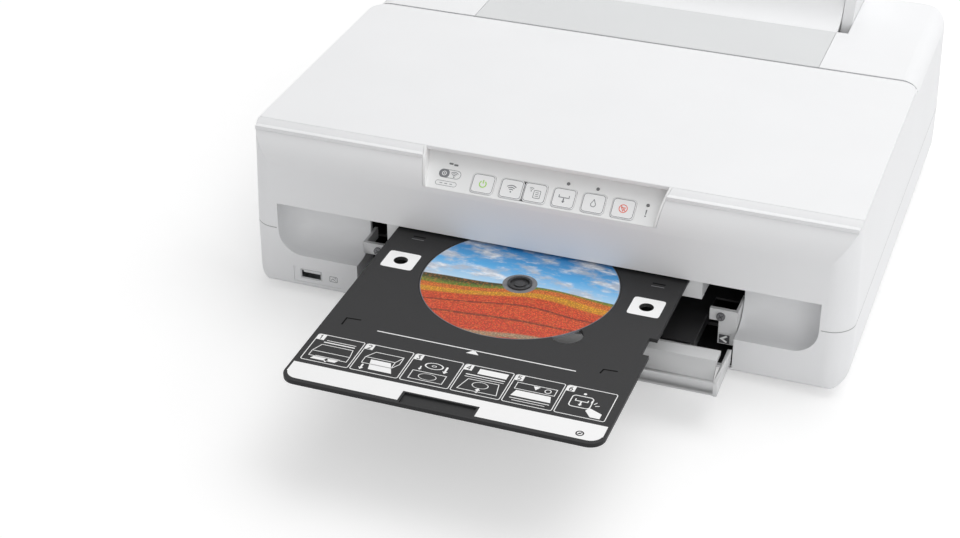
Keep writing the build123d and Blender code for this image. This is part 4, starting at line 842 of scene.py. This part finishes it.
class PRINTER_OT_panel(PrinterOperator, bpy.types.Operator):
    """Control panel with its buttons, lenses and printed symbols"""
    bl_idname = "printer.panel"
    bl_label = "Control panel"

    def make(self):
        dress("indicator_lenses", "panel_board", *BUTTONS)
        dress("control_panel", look="panel_plastic")
        inks = {"power_button": "panel_ink_green", "cancel_button": "panel_ink_red"}
        outline = settings()[1].outline
        for name, x in BUTTONS.items():
            edge = self.ink(x)
            edge.loop(rounded((0, 0), BUTTON_WIDTH, BUTTON_HEIGHT, BUTTON_CORNER), outline)
            edge.piece(f"{name}_outline", "panel_ink_grey", name)
            symbol = self.ink(x)
            getattr(self, name)(symbol)
            symbol.piece(f"{name}_symbol", inks.get(name, "panel_ink_grey"), name)
        self.badge()

    def ink(self, x):
        """Ink on the cap of the button at x."""
        place = PANEL_FOOT + Vector((x * MM, 0, 0)) + PANEL_UP * (BUTTON_ROW * MM)
        return Ink(place, PANEL_UP, BUTTON_PROUD + PRINT_LIFT)

    # One method for each button, which draws its symbol
    def power_button(self, ink):
        ink.arc((0, -0.2), 2.1, 0.75, 125, 290)
        ink.line([(0, 2.6), (0, 0.2)], 0.75)

    def wireless_button(self, ink):
        ink.dot((0, -2.0), 0.5)
        for radius in (1.7, 3.0, 4.3):
            ink.arc((0, -2.0), radius, 0.55, 48, 84, 14)

    def status_button(self, ink):
        ink.loop(rounded((1.4, -0.8), 4.2, 5.0, 0.5), 0.36)
        for v in (0.4, -0.8, -2.0):
            ink.line([(0.3, v), (2.5, v)], 0.34)
        ink.dot((-2.6, 1.0), 0.4)
        for radius in (1.2, 2.1):
            ink.arc((-2.6, 1.0), radius, 0.36, 50, 80, 10)

    def feed_button(self, ink):
        ink.line([(-3.2, 2.0), (-3.2, 0.3), (3.2, 0.3), (3.2, 2.0)], 0.5)
        ink.arrow((0, -0.1), (0, -3.3), 0.75)

    def ink_button(self, ink):
        ink.loop([(0, 2.5), (0.75, 1.0), (1.5, -0.4), (1.45, -1.4), (0.8, -2.1), (0, -2.3),
                  (-0.8, -2.1), (-1.45, -1.4), (-1.5, -0.4), (-0.75, 1.0)], 0.42)

    def cancel_button(self, ink):
        ink.arc((0, 0), 2.5, 0.5)
        ink.loop([polar((0, -0.1), 1.5, angle) for angle in (-90, 30, 150)], 0.42)
        ink.line([(-1.8, 1.8), (1.8, -1.8)], 0.42)

    def badge(self):
        """Plain ring badge, an empty name lozenge and the attention mark."""
        marks = Ink(PANEL_FOOT, PANEL_UP)
        marks.area(rounded((-64.6, 11.4), 6.6, 5.4, 2.2))
        marks.loop(rounded((-60.9, 11.4), 14.0, 5.4, 2.6, 7), 0.3)
        for radius in (1.3, 2.3, 3.3):
            marks.arc((-58.0, 9.7), radius, 0.42, 45, 90, 12)
        marks.dot((-58.0, 9.8), 0.45)
        marks.loop(rounded((-61.8, 4.8), 13.6, 3.0, 1.4), 0.24)
        for u in (-65.0, -61.8, -58.6):
            marks.line([(u - 0.9, 4.8), (u + 0.9, 4.8)], 0.4)
        marks.area([(64.5, 10.6), (65.4, 10.6), (65.2, 7.4), (64.7, 7.4)])
        marks.dot((64.95, 6.4), 0.5)
        marks.piece("panel_marks", "panel_ink_grey", "case")
        ring = Ink(PANEL_FOOT, PANEL_UP, OVERPRINT_LIFT)
        ring.arc((-64.6, 11.4), 1.3, 0.45)
        ring.dot((-64.6, 11.4), 0.45)
        ring.piece("badge_ring", "panel_ink_white", "case")


class PRINTER_OT_disc_tray(PrinterOperator, bpy.types.Operator):
    """Disc tray with its printed marks, sensor squares, loading steps and spring hub"""
    bl_idname = "printer.disc_tray"
    bl_label = "Disc tray"

    def make(self):
        dress("disc_tray", "tray_hub")
        marks = self.ink()
        self.squares(marks)
        marks.line([(-59.0, -112.3), (60.8, -112.3)], 0.75)
        marks.area([(0.5, -111.9), (-3.3, -116.0), (4.3, -116.0)])
        self.front_strip(marks)
        marks.piece("tray_white_marks", "tray_ink_white", "tray")
        self.slot_edges()
        self.dark_marks()
        self.steps(settings()[1].panels)
        self.hub()

    def ink(self, lift=PRINT_LIFT):
        """Ink on the tray, placed from the fascia."""
        return Ink((0.0, FASCIA_Y, TRAY_TOP), lift=lift)

    def squares(self, marks):
        """White sensor squares round the two holes."""
        hole_radius, steps, squareness = 4.4, 56, 14
        for x, y, width, height in ((-75.9, -35.3, 20.5, 18.8), (79.4, -35.3, 19.5, 19.0)):
            hole, outer = [], []
            for step in range(steps):
                u, v = polar((0, 0), 1.0, 360 * step / steps)
                reach = (abs(u) ** squareness + abs(v) ** squareness) ** (-1 / squareness) / 2
                hole.append((x + u * hole_radius, y + v * hole_radius))
                outer.append((x + u * reach * width, y + v * reach * height))
            marks.strip(hole, outer, True)

    def front_strip(self, marks):
        """White strip before the pictures, cut round the grip recess."""
        rear, front, grip_rear, grip_side = -156.4, -171.6, -162.6, 22.4
        radius, middle, bend = 7.2, -164.4, -166.0
        outline = [(-91.0, rear), (-91.0, bend)]
        outline += [polar((-83.6, middle), radius, angle) for angle in range(195, 271, 15)]
        outline += [(-grip_side, front), (-grip_side, grip_rear),
                    (grip_side, grip_rear), (grip_side, front)]
        outline += [polar((85.8, middle), radius, angle) for angle in range(-90, -14, 15)]
        outline += [(93.1, bend), (93.1, rear)]
        marks.area(outline)

    def slot_edges(self):
        """Painted highlight on the near edges of the two slots by the fascia."""
        ink = self.ink()
        for x, y in ((-75.4, -8.8), (79.5, -11.2)):
            ink.line([(x - 4, y), (x + 4, y)], 0.6)
        ink.piece("tray_slot_highlights", "tray_painted_highlight", "tray")

    def dark_marks(self):
        """Dark corner marks, painted shade along the slots' far edges, and the round mark on the
        white strip.
        """
        ink = self.ink()
        for corner in (((-81.0, -113.0), (-81.0, -105.6), (-72.2, -105.0)),
                       ((73.9, -109.5), (74.7, -105.2), (82.7, -104.6))):
            ink.line(corner, 0.9)
        # Painted shade: dark bands along the slots' far edges.
        for x, y in ((-75.4, -5.6), (79.5, -8.0)):
            ink.line([(x - 4, y), (x + 4, y)], 1.0)
        ink.piece("tray_dark_marks_and_slot_shade", "tray_ink_dark_and_shade", "tray")
        badge = self.ink(OVERPRINT_LIFT)
        badge.arc((80.5, -167.0), 2.0, 0.7)
        badge.line([(79.5, -168.0), (81.5, -166.0)], 0.7)
        badge.dot((80.5, -167.0), 0.6)
        badge.piece("tray_round_mark", "tray_ink_dark_and_shade", "tray")

    def steps(self, count):
        """Numbered loading steps as plain line drawings, each with its figure on a white tab."""
        lines, tabs = self.ink(), self.ink(OVERPRINT_LIFT)
        width, height, pitch = 28.6, 26.6, 30.0
        first, low = -89.0, -152.8
        for k in range(count):
            left, high = first + k * pitch, low + height
            lines.loop(rounded((left + width / 2, low + height / 2), width, height, 1.2), 0.5)
            lines.area([(left + 0.2, high - 5.4), (left + 5.0, high - 5.4),
                        (left + 5.0, high - 0.2), (left + 0.2, high - 0.2)])
            figure = [(left + 1.5 + 2.1 * x, high - 4.7 + 3.6 * y) for x, y in DIGITS[k + 1]]
            tabs.line(figure, 0.55)
            lines.shift = (left, low)
            getattr(self, f"step_{k + 1}")(lines)
            lines.shift = (0.0, 0.0)
        lines.piece("tray_step_lines", "tray_ink_white", "tray")
        tabs.piece("tray_step_numbers", "tray_ink_black", "tray")

    def step_1(self, ink):
        """Slide the stacker in."""
        ink.line([(3, 10), (6, 17), (25, 17), (26, 10)], 0.45)
        ink.loop([(3, 10), (26, 10), (26, 5), (3, 5)], 0.45)
        ink.area([(7, 5.8), (22, 5.8), (20, 2.2), (5, 2.2)])
        ink.line([(6, 19.5), (25, 19.5)], 0.9)
        ink.line([(7, 21.5), (25, 21.5)], 0.5)
        ink.arrow((14.5, 1.2), (14.5, 4.8), 1.1)

    def step_2(self, ink):
        """Take the tray from its store."""
        ink.loop([(4, 14), (8, 20), (25, 20), (22, 14)], 0.45)
        ink.line([(4, 14), (4, 8), (22, 8), (22, 14)], 0.45)
        ink.area([(8, 12.5), (20, 12.5), (24, 3), (10, 3)])
        ink.line([(22, 8), (25, 13), (25, 20)], 0.45)
        ink.arrow((5.5, 6.8), (5.5, 1.6), 1.1)

    def step_3(self, ink):
        """Lay the disc on the tray."""
        ink.loop([(4, 3), (24, 3), (24, 11), (4, 11)], 0.45)
        ink.arc((14, 7), 5.2, 0.45, squash=0.55)
        ink.arc((14, 18), 5.2, 0.9, squash=0.55)
        ink.arc((14, 18), 1.2, 0.5, squash=0.6)
        ink.arrow((21.5, 19.5), (21.5, 13.0), 1.2)
        ink.arrow((7.0, 16.0), (7.0, 12.2), 0.8)

    def step_4(self, ink):
        """Slide the tray in level."""
        ink.area([(9, 24.5), (26, 24.5), (26, 19.5), (9, 19.5)])
        ink.line([(3, 17.5), (26, 17.5)], 0.8)
        ink.line([(3, 15.4), (26, 15.4)], 0.45)
        ink.loop([(6, 13.4), (24, 13.4), (26, 3), (3, 3)], 0.45)
        ink.arc((14.5, 9.2), 4.6, 0.5, squash=0.62)
        ink.arrow((14.5, 2.0), (14.5, 6.4), 1.2)

    def step_5(self, ink):
        """Bring the two pointers together."""
        ink.loop([(3, 19.5), (26, 19.5), (26, 13.5), (3, 13.5)], 0.45)
        ink.area([(4.5, 12.2), (24.5, 12.2), (26, 6.6), (3, 6.6)])
        ink.area([(12.5, 18.8), (16.5, 18.8), (14.5, 15.4)])
        ink.line([(3, 4.6), (26, 4.6)], 0.6)
        ink.line([(5, 2.6), (24, 2.6)], 0.45)
        ink.arc((21.5, 16.5), 1.7, 0.5)

    def step_6(self, ink):
        """Press the feed button."""
        ink.loop(rounded((11.5, 13.5), 12.0, 10.5, 2.0), 0.6)
        ink.line([(8, 15.8), (8, 14.0), (15, 14.0), (15, 15.8)], 0.6)
        ink.arrow((11.5, 13.6), (11.5, 9.6), 0.9)
        ink.dot((11.5, 21.2), 0.9)
        ink.area([(17.5, 9.5), (25.5, 6.0), (25.5, 1.5), (20.0, 1.5), (16.0, 6.5)])
        for angle in (20, 55, 90):
            ink.line([polar((17, 11), 3, angle), polar((17, 11), 5.5, angle)], 0.5)

    def hub(self):
        """Ring of spring fingers that grips the disc's hole."""
        mesh = bmesh.new()
        middle, base = (disc_low + disc_high) / 2 / MM, disc_high.z / MM
        fingers, slit, steps = 8, 0.12, 5
        section = ((5.7, 0.25), (5.95, 0.95), (6.3, 1.25), (7.1, 1.15), (7.35, 0.75), (6.9, 0.4))
        for k in range(fingers):
            start, sweep = 2 * pi * k / fingers + slit / 2, 2 * pi / fingers - slit
            rings = []
            for step in range(steps + 1):
                a = start + sweep * step / steps
                rings.append([mesh.verts.new(Vector((
                    middle.x + r * cos(a), middle.y + r * sin(a), base + z)) * MM)
                    for r, z in section])
            for before, after in zip(rings, rings[1:]):
                bridge(mesh, before, after)
            mesh.faces.new(rings[0])
            mesh.faces.new(rings[-1])
        make_piece("hub_fingers", mesh, "hub_grey", "tray")


class PRINTER_OT_disc(PrinterOperator, bpy.types.Operator):
    """Printed disc"""
    bl_idname = "printer.disc"
    bl_label = "Disc"

    def make(self):
        dress("disc")


class PRINTER_OT_output(PrinterOperator, bpy.types.Operator):
    """Output tray, cassette, tray guides and their screws"""
    bl_idname = "printer.output"
    bl_label = "Output tray and guides"

    def make(self):
        dress("output_tray", "output_tray_extension", "paper_cassette",
              "tray_guide_left", "tray_guide_right")
        # The photograph shows no left end of the stacker and no leg under the left bracket
        # Behind stacker_shade_front the stacker takes the black frame finish: painted shade where
        # the deck lies under the disc tray.
        left_end, bracket_foot, stacker_shade_front = -106.0, 33.0, FASCIA_Y - 23.9 * MM
        trimmed("output_tray", "stacker", (left_end, 0, 0), (1, 0, 0), stacker_shade_front)
        trimmed("output_tray_extension", "stacker_extension", (left_end, 0, 0), (1, 0, 0))
        trimmed("tray_guide_left", "case", (0, 0, bracket_foot), (0, 0, 1))
        # Painted shade: black strips on the case floor beside the cassette.
        self.painted_floor_shade()
        dress("guide_screws", look="dark_zinc")
        self.screws()
        self.pointers()
        self.deck_ribs()

    def painted_floor_shade(self):
        """Dark strips of painted shade on the case's floor beside the cassette, where the white
        floor lies in shadow.
        """
        low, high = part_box("paper_cassette")
        front, rear = FASCIA_Y / MM + 3.0, FASCIA_Y / MM + 190.0
        bottom, top, gap = 7.45, 7.85, 1.5
        mesh = bmesh.new()
        for left, right in ((-121.0, low.x / MM - gap), (high.x / MM + gap, 124.7)):
            chamfered_block(mesh, (left, front, bottom), (right, rear, top), 0.1)
        make_piece("floor_painted_shade", mesh, "frame_black", "case")

    def upright(self, x, behind, z, lift=PRINT_LIFT):
        """Ink on an upright face that looks to the front, behind the fascia."""
        return Ink((x * MM, FASCIA_Y + behind * MM, z * MM), (0, 0, 1), lift)

    def screws(self):
        """Painted shade in the cross recesses and round the rims of the bracket screws, drawn as
        dark ink.
        """
        low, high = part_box("guide_screws")
        head_radius, arm = 2.7, 1.75
        for name, x in (("left", low.x / MM + head_radius), ("right", high.x / MM - head_radius)):
            ink = self.upright(x, 8.7, 36.4)
            for turn in (35, 125):
                way = Vector(polar((0, 0), arm, turn))
                ink.line([-way, way], 0.62)
            ink.arc((0, 0), 2.45, 0.22)
            ink.piece(f"bracket_screw_painted_shade_{name}", "bracket_ink_and_shade", "case")

    def pointers(self):
        """Dark tile with a white chevron at the foot of the right bracket."""
        place = (117.5, 9.2, 21.1)
        tile = self.upright(*place)
        tile.area(rounded((0, 0), 6.6, 6.2, 0.4))
        tile.piece("bracket_tile", "bracket_ink_and_shade", "case")
        chevron = self.upright(*place, OVERPRINT_LIFT)
        chevron.line([(1.6, 2.2), (-1.8, 0.0), (1.6, -2.2)], 1.3)
        chevron.piece("bracket_chevron", "tray_ink_white", "case")

    def deck_ribs(self):
        """Low ribs that carry the paper along the stacker and its extension."""
        reach, width = 82.0, 1.6
        for node, body, count, height, top, front, rear, look in (
            # The stacker's ribs take the black frame finish as painted shade under the disc tray;
            # the extension's ribs keep the stacker grey.
            ("output_tray", "stacker", 9, 0.25, 34.1, 24.0, 6.0, "frame_black"),
            ("output_tray_extension", "stacker_extension", 7, 0.3, 22.5, 22.0, 8.0, "stacker_grey"),
        ):
            low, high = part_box(node)
            ribs = Ink((0, 0, top * MM), lift=0.0, height=height)
            for k in range(count):
                x = (low.x + high.x) / 2 / MM - reach + 2 * reach * k / (count - 1)
                ribs.line([(x, low.y / MM + front), (x, high.y / MM - rear)], width)
            ribs.piece(f"{node}_ribs", look, body)


class PRINTER_OT_inside(PrinterOperator, bpy.types.Operator):
    """Inner frame, rollers, gears, rail and chassis"""
    bl_idname = "printer.inside"
    bl_label = "Mechanism"

    def make(self):
        dress("inner_frame", "chassis", "feed_roller", "eject_roller", "feed_gear", "idler_gear",
              "eject_gear", "motor_pinion", "feed_motor", "carriage_rail", "star_wheel_bar",
              "platen", "maintenance_station")
        self.star_wheels()
        self.motor_label("feed_motor")

    def star_wheels(self):
        """Spiked wheels in their holders along the bar over the eject roller."""
        low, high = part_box("star_wheel_bar")
        y, top = (low.y + high.y) / 2 / MM, high.z / MM
        count, inset, spread = 12, 14, 1.9
        holders, wheels = bmesh.new(), bmesh.new()
        for k in range(count):
            x = low.x / MM + inset + k * ((high.x - low.x) / MM - 2 * inset) / (count - 1)
            for side in (x - spread, x + spread):
                low_corner = (side - 0.6, y - 3.0, top - 0.1)
                chamfered_block(holders, low_corner, (side + 0.6, y + 3.0, top + 4.4), 0.25)
            self.spiked(wheels, x, y, top + 2.2)
        make_piece("star_wheel_holders", holders, "frame_black", "case")
        make_piece("star_wheels", wheels, "steel", "case")

    def spiked(self, mesh, x, y, z):
        """Thin wheel with pointed teeth, across X, in millimetres."""
        radius, depth, half, teeth = 3.6, 0.9, 0.15, 16
        rims = []
        for side in (-half, half):
            rim = []
            for step in range(teeth * 2):
                reach = radius if step % 2 == 0 else radius - depth
                v, w = polar((y, z), reach, 180 * step / teeth)
                rim.append(mesh.verts.new(Vector((x + side, v, w)) * MM))
            mesh.faces.new(rim)
            rims.append(rim)
        bridge(mesh, *rims)

    def motor_label(self, node):
        """Plain paper label on top of a motor."""
        low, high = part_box(node)
        label = Ink(((low.x + high.x) / 2, (low.y + high.y) / 2, high.z), lift=0.02)
        label.area(rounded((0, 0), 12.0, 5.0, 0.8))
        label.piece(f"{node}_label", "paper_label", "case")


class PRINTER_OT_carriage(PrinterOperator, bpy.types.Operator):
    """Carriage with its cartridges, head, belt and encoder strip"""
    bl_idname = "printer.carriage"
    bl_label = "Carriage"

    def make(self):
        dress("carriage", "ink_cartridges", "print_head", "encoder_strip", "timing_belt",
              "drive_pulley", "idler_pulley", "carriage_motor")
        self.labels()

    def labels(self):
        """A plain coloured label with two lines on the top of each cartridge."""
        low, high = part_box("ink_cartridges")
        pitch = (high.x - low.x) / MM / len(INK_TINTS)
        paper, middle = Ink((0, 0, high.z)), (low.y + high.y) / 2 / MM
        for k in range(len(INK_TINTS)):
            x = low.x / MM + pitch * (k + 0.5)
            paper.area(rounded((x, middle - 5), pitch - 3.2, 30.0, 0.8))
            colour = Ink((0, 0, high.z), lift=OVERPRINT_LIFT)
            colour.area(rounded((x, middle - 12), pitch - 4.4, 12.0, 0.6))
            colour.line([(x - 2.4, middle + 0.5), (x + 2.4, middle + 0.5)], 0.7)
            colour.line([(x - 2.4, middle + 3.0), (x + 1.0, middle + 3.0)], 0.7)
            colour.piece(f"cartridge_colour_{k + 1}", f"label_ink_{k + 1}", "carriage")
        paper.piece("cartridge_labels", "paper_label", "carriage")


class PRINTER_OT_feeder(PrinterOperator, bpy.types.Operator):
    """Paper feeder at the back with its guard, supports, hopper and guides"""
    bl_idname = "printer.feeder"
    bl_label = "Paper feeder"

    def make(self):
        dress("feeder_guard", "paper_support", "paper_support_extension", "feeder_well",
              "pickup_roller", "separation_pad", "hopper", "edge_guide_left", "edge_guide_right",
              "edge_guide_pinion")


class PRINTER_OT_electrics(PrinterOperator, bpy.types.Operator):
    """Boards, supply, mains inlet and ports"""
    bl_idname = "printer.electrics"
    bl_label = "Electrics and ports"

    def make(self):
        dress("main_board", "power_supply", "ac_inlet", "rear_usb_port", "usb_host_port")
        mark = Ink((-0.1388, FASCIA_Y + 0.0008, 0.0142), (0, 0, 1))
        mark.loop(rounded((0, 0), 5.2, 3.8, 0.5), 0.34)
        mark.line([(-1.7, -1.0), (-0.5, 0.5), (0.4, -0.4), (1.7, -1.0)], 0.34)
        mark.dot((1.2, 0.9), 0.4)
        mark.piece("port_mark", "panel_ink_grey", "case")
        self.parts()

    def parts(self):
        """Chips and capacitors on the main board."""
        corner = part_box("main_board")[0]
        x, y, board_top = corner.x / MM, corner.y / MM, 14.6
        chips, cans = bmesh.new(), bmesh.new()
        for u, v, width, length, tall in (
            (6, 70, 9, 14, 1.2), (22, 44, 12, 12, 1.4), (6, 104, 14, 8, 1.1),
            (24, 128, 8, 10, 1.1), (7, 150, 6, 18, 1.2), (24, 166, 10, 10, 1.3),
        ):
            chamfered_block(chips, (x + u, y + v, board_top),
                            (x + u + width, y + v + length, board_top + tall), 0.15)
        can = ((0.02, 0.0), (2.6, 0.0), (2.6, 5.6), (2.2, 6.0), (0.02, 6.0))
        for u, v in ((32, 12), (32, 22), (8, 20), (8, 186), (18, 190), (32, 188)):
            turned(cans, can, (x + u, y + v, board_top), steps=20)
        make_piece("board_chips", chips, "frame_black", "case")
        make_piece("board_capacitors", cans, "steel", "case")


STEPS = (
    PRINTER_OT_stage,
    PRINTER_OT_case,
    PRINTER_OT_panel,
    PRINTER_OT_disc_tray,
    PRINTER_OT_disc,
    PRINTER_OT_output,
    PRINTER_OT_inside,
    PRINTER_OT_carriage,
    PRINTER_OT_feeder,
    PRINTER_OT_electrics,
)


class PRINTER_PT_panel(bpy.types.Panel):
    """Build steps of the printer"""
    bl_idname = "PRINTER_PT_panel"
    bl_label = "Disc label printer"
    bl_space_type = "VIEW_3D"
    bl_region_type = "UI"
    bl_category = "Printer"

    def draw(self, context):
        for step in STEPS:
            self.layout.operator(step.bl_idname)
        for group in settings():
            box = self.layout.box()
            for key in group.bl_rna.properties.keys():
                if key not in {"rna_type", "name"}:
                    box.prop(group, key)


CLASSES = (PrinterColours, PrinterSizes, PrinterStage, *STEPS, PRINTER_PT_panel)


def register():
    for item in CLASSES:
        bpy.utils.register_class(item)
    bpy.types.Scene.printer_colours = PointerProperty(type=PrinterColours)
    bpy.types.Scene.printer_sizes = PointerProperty(type=PrinterSizes)
    bpy.types.Scene.printer_stage = PointerProperty(type=PrinterStage)


def unregister():
    del bpy.types.Scene.printer_stage
    del bpy.types.Scene.printer_sizes
    del bpy.types.Scene.printer_colours
    for item in reversed(CLASSES):
        bpy.utils.unregister_class(item)


def main():
    register()
    for step in STEPS:
        area, action = step.bl_idname.split(".")
        getattr(getattr(bpy.ops, area), action)()


if __name__ == "__main__":
    main()
